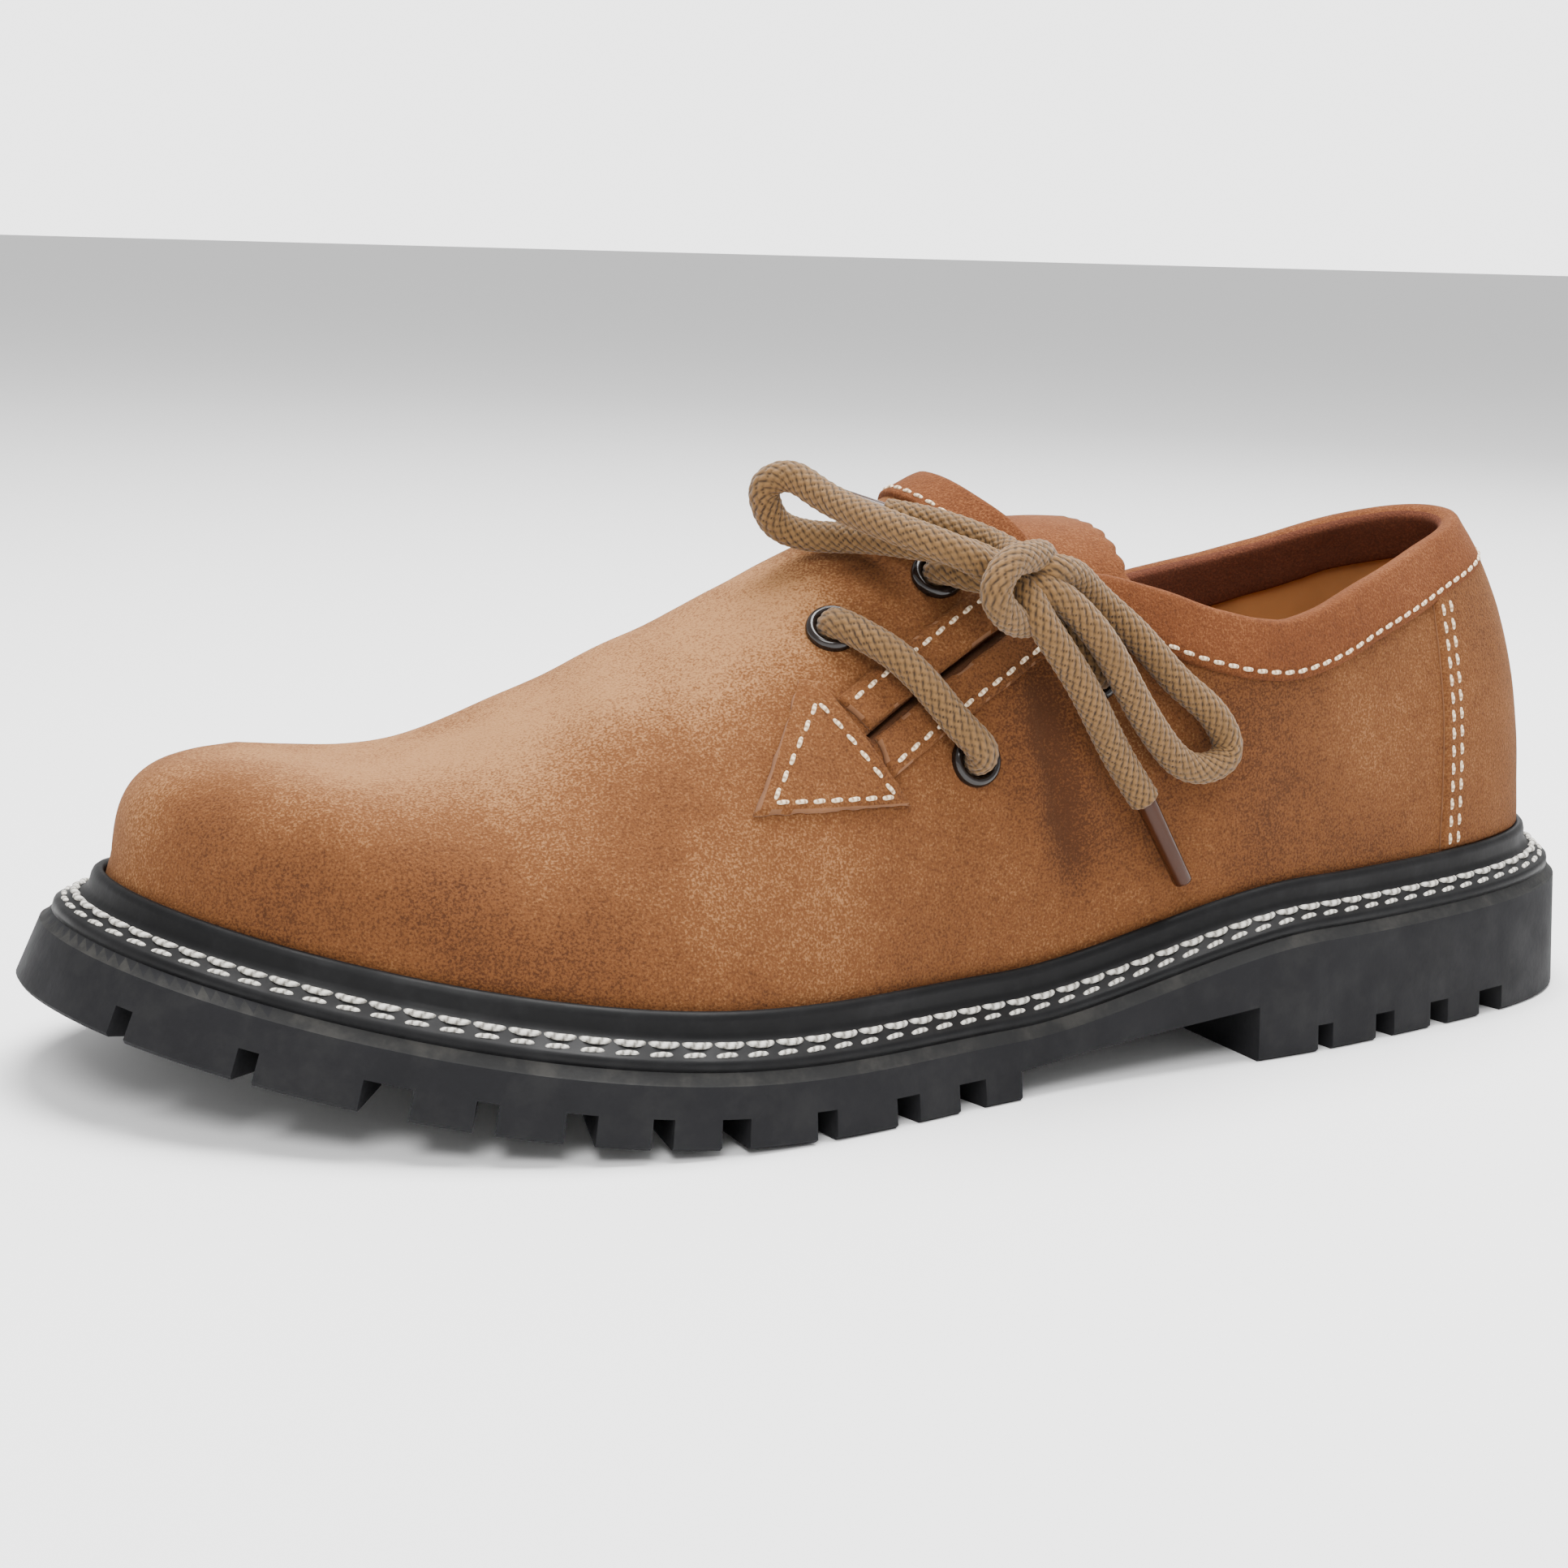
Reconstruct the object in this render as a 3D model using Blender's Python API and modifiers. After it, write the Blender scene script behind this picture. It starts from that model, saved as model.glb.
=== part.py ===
"""Haferl shoe, left foot: lug sole, raised welt, hollow suede upper with a side lacing, tongue and lace.

The frame has the toe towards -X, the laced outer side towards -Y and +Z up. Lengths are metres.
Shoe is drawn on its last: a closed feather line in plan, and arches that rise from it to the ridge.
"""
import math

import bmesh
import bpy
import numpy as np
from mathutils import Matrix, Vector

MM = 0.001

# Last
UPPER_LENGTH = 286 * MM
BALL_WIDTH = 101 * MM
INSTEP_HEIGHT = 100 * MM
HEEL_CENTRE = 0.123
TOE_CENTRE = 0.895

# Sole
HEEL_THICKNESS = 22.3 * MM
FORE_THICKNESS = 12.0 * MM
HEEL_RISE_LENGTH = 70 * MM
HEEL_SWEEP = 2.0 * MM
TOE_LIFT = 18.3 * MM
SPRING_POWER = 2.15
SPRING_START = 0.572
RIM_REACH = 7.3 * MM
BAND_DEPTH = 1.6 * MM
BAND_SLOPE = 1.0 * MM
BAND_STEP = 0.5 * MM
WALL_FLARE = 1.4 * MM
FOOT_BEVEL = 0.6 * MM
LUG_DEPTH = 5.0 * MM
LUG_REACH = 20 * MM
BREAST_HEIGHT = 10 * MM
BREAST_AT = 0.313
TREAD_END = 0.497

# Welt
LIP_WIDTH = 2.1 * MM
LIP_TOP = 8.4 * MM
LEDGE_TOP = 4.4 * MM
LEDGE_EDGE = 1.7 * MM

# Leather
CLEARANCE = 0.3 * MM
LEATHER = 2.2 * MM
OVERLAY = 1.2 * MM
COUNTER = 1.0 * MM
BAND_LEG = 8.5 * MM
VAMP_BAND_LEG = 6.5 * MM
INSOLE = 2.5 * MM
TONGUE = 1.6 * MM
TONGUE_TIP_HEIGHT = 93 * MM
TONGUE_TIP = 0.370
SLIT = 1.6 * MM

# The folded bands stand this far off the leather they cover
FOLD_GAP = CLEARANCE + 0.15 * MM
FOLD = FOLD_GAP + OVERLAY
INSIDE_SLACK = 0.7 * MM
TONGUE_DROP = LEATHER + INSIDE_SLACK + FOLD + 0.5 * MM

# Eyelets and lace
EYELET = 9.4 * MM
EYELET_BORE = 5.6 * MM
EYELET_HEIGHT = 1.5 * MM
LACE = 5.6 * MM
AGLET = 4.0 * MM
AGLET_LENGTH = 18 * MM
KNOT_RADII = (7.4 * MM, 6.5 * MM, 7.2 * MM)
# The lace lies as it was tied, in millimetres from the origin of the last
KNOT_CENTRE = (5.7, -39.0, 87.2)
LACE_ROUTES = {
    "bar": [(-16.2, -34.8, 74.3), (-11.1, -38.8, 68.6), (-5.9, -41.4, 62.1)],
    "strand_front": [(2.3, -31.8, 86.6)],
    "strand_rear": [(20.0, -39.2, 73.2), (16.2, -38.2, 77.0), (12.0, -37.2, 80.9)],
    "loop_front": [(-2.6, -41.1, 90.1), (-8.0, -36.5, 94.2), (-13.0, -28.0, 98.0), (-18.6, -18.5, 101.2),
                   (-23.8, -11.5, 103.6), (-28.4, -8.0, 103.1), (-29.6, -7.0, 98.8), (-25.0, -6.5, 93.8),
                   (-19.8, -10.0, 92.0), (-13.8, -15.8, 92.6), (-7.4, -23.5, 94.2), (-4.0, -29.4, 94.4),
                   (-1.6, -35.4, 92.2)],
    "end_front": [(4.4, -32.9, 93.0), (1.8, -25.4, 95.6), (-2.4, -18.8, 97.2), (-5.6, -12.2, 98.0), (-5.5, -10.0, 98.0)],
    "loop_rear": [(13.2, -43.0, 83.2), (17.2, -44.6, 78.2), (24.0, -45.0, 69.0), (32.6, -43.6, 58.5),
                  (41.6, -43.0, 53.1), (47.6, -42.3, 55.5), (46.0, -41.4, 61.0), (39.0, -40.0, 67.4),
                  (29.3, -38.6, 76.7), (19.5, -36.4, 84.5), (14.6, -35.0, 88.9)],
    "end_rear": [(6.6, -42.9, 79.5), (8.8, -44.3, 77.0), (14.9, -45.2, 68.9), (23.2, -43.4, 56.7), (29.8, -43.0, 47.6)],
}

# Feather line in plan: share of the upper's length from the heel, share of the ball width (outer side negative)
PLAN = [
    (0.000, 0.000), (0.022, -0.172), (0.075, -0.262), (0.160, -0.325), (0.280, -0.385), (0.400, -0.408),
    (0.520, -0.450), (0.620, -0.510), (0.710, -0.532), (0.790, -0.485), (0.870, -0.380), (0.940, -0.235),
    (0.985, -0.072), (1.000, 0.090), (0.988, 0.240), (0.945, 0.372), (0.870, 0.448), (0.790, 0.470),
    (0.710, 0.452), (0.620, 0.392), (0.520, 0.318), (0.400, 0.280), (0.280, 0.300), (0.160, 0.310),
    (0.075, 0.268), (0.022, 0.165),
]
# Ridge: share of the length, height over the instep height, crown and wall fullness, side over the ball width
RIDGE = [
    (0.123, 1.010, 2.1, 2.1, -0.010),
    (0.208, 1.110, 2.2, 2.2, -0.020),
    (0.307, 1.160, 2.2, 2.2, -0.030),
    (0.396, 1.120, 2.1, 2.0, -0.030),
    (0.485, 0.995, 2.0, 1.9, -0.030),
    (0.544, 0.913, 2.0, 1.8, -0.025),
    (0.609, 0.822, 2.0, 1.8, -0.020),
    (0.678, 0.726, 2.0, 1.9, -0.005),
    (0.742, 0.628, 2.2, 2.1, 0.015),
    (0.806, 0.552, 2.6, 2.5, 0.035),
    (0.895, 0.545, 3.7, 3.9, 0.060),
]
# Top line from the throat to the heel: share of the length, height over the instep height on each side
TOP_LINE = [
    (0.483, 1.040, 1.040), (0.468, 0.990, 0.995), (0.453, 0.954, 0.960), (0.444, 0.900, 0.925),
    (0.436, 0.862, 0.905), (0.429, 0.862, 0.890), (0.421, 0.868, 0.880), (0.404, 0.868, 0.865),
    (0.361, 0.836, 0.825), (0.333, 0.807, 0.800), (0.297, 0.783, 0.785), (0.270, 0.776, 0.785),
    (0.237, 0.795, 0.803), (0.198, 0.832, 0.825), (0.153, 0.867, 0.860), (0.119, 0.895, 0.897),
    (0.087, 0.920, 0.922), (0.059, 0.945, 0.945),
]
# Arches that stand at the throat: share of the length
THROAT_SHARES = [0.405, 0.420, 0.429, 0.436, 0.444, 0.453, 0.460, 0.468, 0.476, 0.483]
# Side grooves of the tread: share of the length, width
GROOVES = [
    (0.952, 3.5 * MM), (0.888, 8.0 * MM), (0.839, 3.5 * MM), (0.792, 5.0 * MM), (0.746, 3.5 * MM),
    (0.702, 5.0 * MM), (0.642, 4.0 * MM), (0.585, 5.0 * MM), (0.535, 6.0 * MM),
    (0.256, 3.8 * MM), (0.202, 5.2 * MM), (0.148, 5.2 * MM), (0.093, 7.5 * MM),
]
# Middle lugs of the tread: share of the length, share of the ball width at their half width, length
MIDDLE_LUGS = [
    (0.915, 0.13, 8 * MM), (0.864, 0.20, 11 * MM), (0.813, 0.24, 9 * MM), (0.764, 0.25, 9 * MM),
    (0.714, 0.25, 9 * MM), (0.665, 0.23, 10 * MM), (0.608, 0.19, 11 * MM), (0.549, 0.16, 10 * MM),
    (0.252, 0.13, 10 * MM), (0.188, 0.12, 9 * MM), (0.124, 0.10, 8 * MM),
]
# Eyelets on the outer side: share of the length, height over the instep height
EYELETS = [
    ("eyelet_front_low", 0.579, 0.771), ("eyelet_front_high", 0.506, 0.857),
    ("eyelet_rear_low", 0.506, 0.560), ("eyelet_rear_high", 0.417, 0.691),
]
# Slit of the side lacing, foot to mouth: share of the length, height over the instep height
SLIT_LINE = [(0.577, 0.608), (0.468, 0.779), (0.425, 0.905)]
# Corner patch at the slit's foot: share of the length, height over the instep height
PATCH = [(0.605, 0.683), (0.656, 0.507), (0.561, 0.502)]


def along_x(share):
    """Place along the shoe of a share of the upper's length, from the heel to the toe."""
    return (0.5 - np.asarray(share, float)) * UPPER_LENGTH


def natural_spline(xs, ys, at):
    """Natural cubic through the points (xs, ys), read at the given places."""
    xs, ys, at = np.array(xs, float), np.array(ys, float), np.asarray(at, float)
    count = len(xs)
    step = np.diff(xs)
    system, right = np.eye(count), np.zeros(count)
    for i in range(1, count - 1):
        system[i, i - 1:i + 2] = step[i - 1], 2 * (step[i - 1] + step[i]), step[i]
        right[i] = 6 * ((ys[i + 1] - ys[i]) / step[i] - (ys[i] - ys[i - 1]) / step[i - 1])
    bend = np.linalg.solve(system, right)
    k = np.clip(np.searchsorted(xs, at) - 1, 0, count - 2)
    u, v = at - xs[k], xs[k + 1] - at
    return ((bend[k] * v**3 + bend[k + 1] * u**3) / (6 * step[k])
            + (ys[k] / step[k] - bend[k] * step[k] / 6) * v
            + (ys[k + 1] / step[k] - bend[k + 1] * step[k] / 6) * u)


def smooth_line(points, count, closed=False):
    """Smooth curve through the points, sampled evenly."""
    p = np.array(points, float)
    if not closed:
        t = np.concatenate([[0], np.cumsum(np.linalg.norm(np.diff(p, axis=0), axis=1))])
        at = np.linspace(0, t[-1], count)
        return np.stack([natural_spline(t, p[:, k], at) for k in range(p.shape[1])], 1)
    n = len(p)
    around = np.concatenate([p, p, p, p[:1]])
    t = np.concatenate([[0], np.cumsum(np.linalg.norm(np.diff(around, axis=0), axis=1))])
    at = t[n] + np.arange(count) / count * (t[2 * n] - t[n])
    return np.stack([natural_spline(t, around[:, k], at) for k in range(p.shape[1])], 1)


def feather_line(count):
    """Closed plan line where the upper meets the sole, from the heel along the outer side."""
    return smooth_line([(along_x(a), s * BALL_WIDTH) for a, s in PLAN], count, closed=True)


def grown(loop, reach):
    """Closed plan loop grown outwards by a distance."""
    along = np.roll(loop, -1, 0) - np.roll(loop, 1, 0)
    out = np.stack([along[:, 1], -along[:, 0]], 1) / np.linalg.norm(along, axis=1)[:, None]
    if ((loop - loop.mean(0)) * out).sum() < 0:
        out = -out
    return loop + out * reach


SAMPLES = 720
FEATHER = feather_line(SAMPLES)
TOE_X = along_x(1.0) - 13.5 * MM


def spring(x):
    """How far the toe spring lifts the shoe at x."""
    u = np.clip((along_x(SPRING_START) - x) / (along_x(SPRING_START) - TOE_X), 0, None)
    return TOE_LIFT * u**SPRING_POWER


def spring_slope(x):
    u = np.clip((along_x(SPRING_START) - x) / (along_x(SPRING_START) - TOE_X), 0, None)
    return -SPRING_POWER * TOE_LIFT * u ** (SPRING_POWER - 1) / (along_x(SPRING_START) - TOE_X)


def sprung(points):
    """Points of the flat sole bent up with the toe spring."""
    p = np.array(points, float)
    x, z = p[:, 0].copy(), p[:, 2].copy()
    p[:, 0] = x - z * spring_slope(x)
    p[:, 2] = z + spring(x)
    return p


def sole_top(x):
    """Height of the outsole's top face over its tread, before the spring."""
    u = np.clip(x / HEEL_RISE_LENGTH, 0, 1)
    back = np.clip((x - HEEL_RISE_LENGTH) / (along_x(0) - HEEL_RISE_LENGTH), 0, 1)
    return FORE_THICKNESS + (HEEL_THICKNESS - FORE_THICKNESS) * u * u * (3 - 2 * u) + HEEL_SWEEP * back**2


def table(rows, share_at, column):
    """A table's column read smoothly at a share of the length, held at its ends."""
    rows = np.array(sorted(rows))
    return natural_spline(rows[:, 0], rows[:, column], np.clip(share_at, rows[0, 0], rows[-1, 0]))


def share_of(x):
    return 0.5 - np.asarray(x) / UPPER_LENGTH


def ridge(x):
    """Height, crown and wall fullness, and side of the last's ridge at x."""
    share = share_of(x)
    return (table(RIDGE, share, 1) * INSTEP_HEIGHT, table(RIDGE, share, 2), table(RIDGE, share, 3),
            table(RIDGE, share, 4) * BALL_WIDTH)


def feather_edge():
    """The upper's lower edge: the feather line just over the outsole, bent with the toe spring."""
    return sprung(np.stack([FEATHER[:, 0], FEATHER[:, 1], sole_top(FEATHER[:, 0]) + CLEARANCE], 1))


EDGE = feather_edge()


def read_loop(loop, index):
    """A closed loop read at fractional indices."""
    closed = np.concatenate([loop, loop[:1]])
    place = np.asarray(index, float) % len(loop)
    return np.stack([np.interp(place, np.arange(len(closed)), closed[:, k]) for k in range(loop.shape[1])], -1)


def arch_foot(station):
    """Foot of each arch on the spine, in plan."""
    heel, toe = along_x(HEEL_CENTRE), along_x(TOE_CENTRE)
    foot_x = np.interp(station, [0, 1, 2, 3], [heel, heel, toe, toe])
    return np.stack([foot_x, ridge(foot_x)[3]], -1)


def edge_index(side, station):
    """Place of each arch's end along the feather line, as a fractional index.

    A station runs 0 to 1 around the heel, 1 to 2 along the shoe and 2 to 3 around the toe.
    """
    shape = np.shape(station)
    station = np.atleast_1d(np.asarray(station, float))
    foot = arch_foot(station)
    numbers = np.arange(SAMPLES)
    numbers = np.where(numbers > SAMPLES * 3 // 4, numbers - SAMPLES, numbers)
    half = EDGE[:, 1] * side > 0
    order = EDGE[half, 0].argsort()
    index = np.interp(foot[..., 0], EDGE[half, 0][order], numbers[half][order] if side < 0 else
                      (numbers[half] % SAMPLES)[order])
    for centre, first, towards in ((along_x(HEEL_CENTRE), 0, 1), (along_x(TOE_CENTRE), 2, -1)):
        turn = station - first if towards > 0 else first + 1 - station
        fan = (turn >= 0) & (turn <= 1)
        near = towards * (EDGE[:, 0] - centre) > -4 * MM
        ahead = EDGE[near, :2] - [centre, float(ridge(centre)[3])]
        angle = np.arctan2(side * ahead[:, 1], towards * ahead[:, 0])
        order = angle.argsort()
        index[fan] = np.interp(turn[fan] * math.pi / 2, angle[order], numbers[near][order])
    return index.reshape(shape)


def arch_ends(side, station):
    """Foot on the spine and end on the upper's lower edge of each arch."""
    return arch_foot(station), read_loop(EDGE, edge_index(side, station))


def upper_point(side, station, rise):
    """Point on the upper's outer face: rise runs from 0 at the feather line to 1 on the ridge."""
    station, rise = np.broadcast_arrays(np.asarray(station, float), np.asarray(rise, float))
    foot, end = arch_ends(side, station)
    height, crown, wall, _ = ridge(foot[..., 0])
    low = end[..., 2]
    angle = rise * math.pi / 2
    reach = np.cos(angle) ** (2 / crown)
    lift = np.sin(angle) ** (2 / wall)
    plan = foot + (end[..., :2] - foot) * reach[..., None]
    z = low + (height - low) * lift
    plan[..., 0] -= np.minimum(z - low, LIP_TOP + 2 * MM) * spring_slope(end[..., 0]) * reach
    return np.concatenate([plan, z[..., None]], -1)


def upper_frame(side, station, rise):
    """Point, outward normal and the two tangents of the upper's outer face."""
    d = 1e-3
    s0, s1 = max(station - d, 0), min(station + d, 3)
    r0, r1 = max(rise - d, 1e-4), min(rise + d, 1 - 1e-4)
    point = upper_point(side, station, rise)
    along = (upper_point(side, s1, rise) - upper_point(side, s0, rise)) / (s1 - s0)
    up = (upper_point(side, station, r1) - upper_point(side, station, r0)) / (r1 - r0)
    normal = np.cross(along, up) * -side
    normal = normal / np.linalg.norm(normal)
    if normal @ (point - [point[0] * 0.9, 0, 0.02]) < 0:
        normal = -normal
    return point, normal, along, up


def top_height(x, side):
    """Height of the top line at x on one side, far over the ridge ahead of the throat."""
    share = share_of(x)
    rows = np.array(sorted(TOP_LINE))
    height = np.interp(share, rows[:, 0], rows[:, 1 if side < 0 else 2]) * INSTEP_HEIGHT - FOLD
    return np.where(share > rows[-1, 0], INSTEP_HEIGHT * 1.5, height)


def top_rise(side, station):
    """Rise at which the arch of a station meets the top line, 1 where it stays closed."""
    rises = np.linspace(0, 1, 401)
    p = upper_point(side, np.full(401, station), rises)
    over = p[:, 2] - top_height(p[:, 0], side)
    above = np.nonzero(over > 0)[0]
    if len(above) == 0 or above[0] == 0:
        return 1.0
    k = above[0]
    return float(rises[k - 1] + (rises[k] - rises[k - 1]) * -over[k - 1] / (over[k] - over[k - 1]))


def rise_below(side, station, rise, distance):
    """Rise that lies a distance down the arch from another one."""
    rises = np.linspace(0, rise, 201)
    p = upper_point(side, np.full(201, station), rises)
    run = np.concatenate([[0], np.cumsum(np.linalg.norm(np.diff(p, axis=0), axis=1))])
    return float(np.interp(run[-1] - distance, run, rises))


def station_at(x):
    """Station of the arch that stands at x, between the heel's and the toe's fans."""
    heel, toe = along_x(HEEL_CENTRE), along_x(TOE_CENTRE)
    return 1 + (heel - x) / (heel - toe)


def on_side(side, share, height):
    """Station and rise of the point at a share of the length and a height."""
    station = float(station_at(along_x(share)))
    rises = np.linspace(0, 1, 801)
    z = upper_point(side, np.full(801, station), rises)[:, 2]
    return station, float(np.interp(height, z, rises))


# Rows of the upper's mesh lie closer together towards its top edge
ROW_SPREAD = 1.3


# Helpers for Blender objects

def reset():
    for old in list(bpy.data.objects):
        bpy.data.objects.remove(old, do_unlink=True)
    for name in ("haferl_shoe", "cutters"):
        if name not in bpy.data.collections:
            bpy.context.scene.collection.children.link(bpy.data.collections.new(name))


def material(name, colour, roughness, metallic=0.0):
    m = bpy.data.materials.get(name) or bpy.data.materials.new(name)
    m.use_nodes = True
    shader = m.node_tree.nodes["Principled BSDF"]
    shader.inputs["Base Color"].default_value = (*colour, 1)
    shader.inputs["Roughness"].default_value = roughness
    shader.inputs["Metallic"].default_value = metallic
    return m


def add_mesh(name, bm, look=None, weld=1e-5):
    """Make an object of a bmesh, with its faces pointing out."""
    if weld:
        bmesh.ops.remove_doubles(bm, verts=bm.verts, dist=weld)
    bmesh.ops.recalc_face_normals(bm, faces=bm.faces)
    mesh = bpy.data.meshes.new(name)
    bm.to_mesh(mesh)
    bm.free()
    return add_object(name, mesh, look)


def add_object(name, data, look=None):
    obj = bpy.data.objects.new(name, data)
    bpy.data.collections["haferl_shoe" if look else "cutters"].objects.link(obj)
    if look:
        data.materials.append(look)
    else:
        obj.hide_render = True
        obj.display_type = "WIRE"
    return obj


def cut(obj, cutter, operation="DIFFERENCE"):
    mod = obj.modifiers.new(cutter.name, "BOOLEAN")
    mod.operation = operation
    mod.solver = "EXACT"
    mod.object = cutter


def settle(obj):
    """Replace an object's mesh by its evaluated one and clear its modifiers."""
    graph = bpy.context.evaluated_depsgraph_get()
    mesh = bpy.data.meshes.new_from_object(obj.evaluated_get(graph))
    obj.modifiers.clear()
    obj.data = mesh


def bridge(bm, rings, closed=True):
    """Quads between neighbouring rings of points."""
    made = [[bm.verts.new(p) for p in ring] for ring in rings]
    for a, b in zip(made, made[1:]):
        n = len(a)
        for i in range(n if closed else n - 1):
            j = (i + 1) % n
            bm.faces.new((a[i], a[j], b[j], b[i]))
    return made


def strips(bm, ring):
    """Close a plan loop with strips across it, so that it can bend along the shoe."""
    n = len(ring)
    bm.faces.new((ring[0], ring[1], ring[n - 1]))
    for i in range(1, n // 2 - 1):
        bm.faces.new((ring[i], ring[i + 1], ring[n - i - 1], ring[n - i]))
    bm.faces.new((ring[n // 2 - 1], ring[n // 2], ring[n // 2 + 1]))


def plate(name, outlines, low, high):
    """Cutter from flat outlines that lie apart, between two heights."""
    bm = bmesh.new()
    for outline in outlines:
        rings = bridge(bm, [[(x, y, low) for x, y in outline], [(x, y, high) for x, y in outline]])
        bm.faces.new(rings[0][::-1])
        bm.faces.new(rings[1])
    return add_mesh(name, bm, weld=0)


def prism(name, outline, near, far):
    """Cutter from an outline in side view, as (x, z), between two places along Y."""
    bm = bmesh.new()
    rings = bridge(bm, [[(x, near, z) for x, z in outline], [(x, far, z) for x, z in outline]])
    bm.faces.new(rings[0])
    bm.faces.new(list(reversed(rings[1])))
    return add_mesh(name, bm)


# Sole, welt and insole

def outline_loop(count, reach, heights):
    """Closed loop at a reach outside the feather line, before the toe spring."""
    loop = grown(feather_line(count), reach)
    return np.stack([loop[:, 0], loop[:, 1], heights(loop[:, 0])], 1)


def outsole(look):
    count = 72
    tread = RIM_REACH + BAND_SLOPE + BAND_STEP + WALL_FLARE
    foot = tread - FOOT_BEVEL
    rings = [
        outline_loop(count, RIM_REACH, sole_top),
        outline_loop(count, RIM_REACH + BAND_SLOPE, lambda x: sole_top(x) - BAND_DEPTH),
        outline_loop(count, RIM_REACH + BAND_SLOPE + BAND_STEP, lambda x: sole_top(x) - BAND_DEPTH - BAND_STEP / 2),
        outline_loop(count, tread, lambda x: 0 * x + FOOT_BEVEL),
        outline_loop(count, foot, lambda x: 0 * x),
    ]
    bm = bmesh.new()
    made = bridge(bm, rings)
    strips(bm, made[0])
    strips(bm, made[-1])
    sole = add_mesh("outsole", bm, look)
    far = 2 * BALL_WIDTH
    below = -5 * MM
    breast, end = float(along_x(BREAST_AT)), float(along_x(TREAD_END))
    waist = prism("waist_cut", [(end, below), (breast, below), (breast, BREAST_HEIGHT), (end, LUG_DEPTH)], -far, far)
    cut(sole, waist)
    inner = grown(feather_line(64), tread - LUG_REACH)
    for name, part, held in (
        ("fore_recess", [r for r in MIDDLE_LUGS if r[0] > TREAD_END], inner[:, 0] < end + 1 * MM),
        ("heel_recess", [r for r in MIDDLE_LUGS if r[0] < BREAST_AT], inner[:, 0] > breast + 12 * MM),
    ):
        first = int(np.nonzero(held & ~np.roll(held, 1))[0][0])
        edge = np.roll(inner, -first, 0)[np.roll(held, -first)]
        recess = plate(name, [edge], below, LUG_DEPTH)
        lugs = []
        for share, half, length in part:
            x, w, c = float(along_x(share)), half * BALL_WIDTH, length / 2
            y, tip = float(ridge(x)[3]), length * 0.25
            lugs.append([(x - c - tip, y), (x - c, y + w), (x + c, y + w), (x + c - tip, y), (x + c, y - w), (x - c, y - w)])
        cut(recess, plate(name + "_lugs", lugs, 2 * below, 2 * LUG_DEPTH))
        cut(sole, recess)
    bm = bmesh.new()
    outer = grown(feather_line(720), tread)
    for side in (-1, 1):
        line = outer[outer[:, 1] * side > 0]
        for share, width in GROOVES:
            k = int(np.argmin(np.abs(line[:, 0] - along_x(share))))
            step = line[min(k + 1, len(line) - 1)] - line[max(k - 1, 0)]
            out = Vector((step[1], -step[0], 0)).normalized()
            if out.y * side < 0:
                out = -out
            size = LUG_REACH + 8 * MM
            middle = Vector((*line[k], 0)) - out * (size / 2 - 6 * MM)
            turn = Matrix((out, Vector((-out.y, out.x, 0)), Vector((0, 0, 1)))).transposed().to_4x4()
            scale = Matrix.Diagonal((size, width, 2 * LUG_DEPTH, 1))
            bmesh.ops.create_cube(bm, size=1, matrix=Matrix.Translation(middle) @ turn @ scale)
    cut(sole, add_mesh("side_grooves", bm, weld=0))
    settle(sole)
    bm = bmesh.new()
    bm.from_mesh(sole.data)
    bmesh.ops.triangulate(bm, faces=bm.faces)
    bent = sprung([v.co for v in bm.verts])
    for v, p in zip(bm.verts, bent):
        v.co = p
    bm.to_mesh(sole.data)
    bm.free()
    return sole


def arch_loop(reach, height):
    """Closed loop through the ends of the upper's arches, at a reach and a height over the outsole."""
    outer, inner = upper_stations(-1), upper_stations(1)[1:-1][::-1]
    index = np.concatenate([edge_index(-1, outer), edge_index(1, inner)])
    loop = read_loop(grown(FEATHER, reach), index)
    return sprung(np.stack([loop[:, 0], loop[:, 1], sole_top(loop[:, 0]) + height], 1))


def welt(look):
    section = [
        (CLEARANCE + 0.1 * MM, CLEARANCE), (CLEARANCE + 0.1 * MM, LIP_TOP - 0.4 * MM),
        (CLEARANCE + 0.8 * MM, LIP_TOP), (CLEARANCE + LIP_WIDTH, LIP_TOP - 0.8 * MM),
        (CLEARANCE + LIP_WIDTH, LEDGE_TOP), (RIM_REACH, LEDGE_EDGE), (RIM_REACH, CLEARANCE),
    ]
    bm = bmesh.new()
    loops = [arch_loop(reach, height) for reach, height in section]
    bridge(bm, loops + [loops[0]])
    return add_mesh("welt", bm, look)


def insole(look):
    bm = bmesh.new()
    loop = grown(feather_line(56), -(LEATHER + 0.8 * MM))
    heights = (CLEARANCE, CLEARANCE + INSOLE)
    made = bridge(bm, [sprung(np.stack([loop[:, 0], loop[:, 1], sole_top(loop[:, 0]) + h], 1)) for h in heights])
    strips(bm, made[0])
    strips(bm, made[1])
    return add_mesh("insole", bm, look)


# Upper

def upper_stations(side):
    """Stations of the arches of one side, close together at the throat."""
    heel_fan = np.linspace(0, 1, 8, endpoint=False)
    shares = np.concatenate([np.linspace(HEEL_CENTRE, 0.40, 8, endpoint=False),
                             THROAT_SHARES, np.linspace(0.510, TOE_CENTRE, 11, endpoint=False)])
    return np.concatenate([heel_fan, station_at(along_x(shares)), np.linspace(2, 3, 8)])


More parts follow.
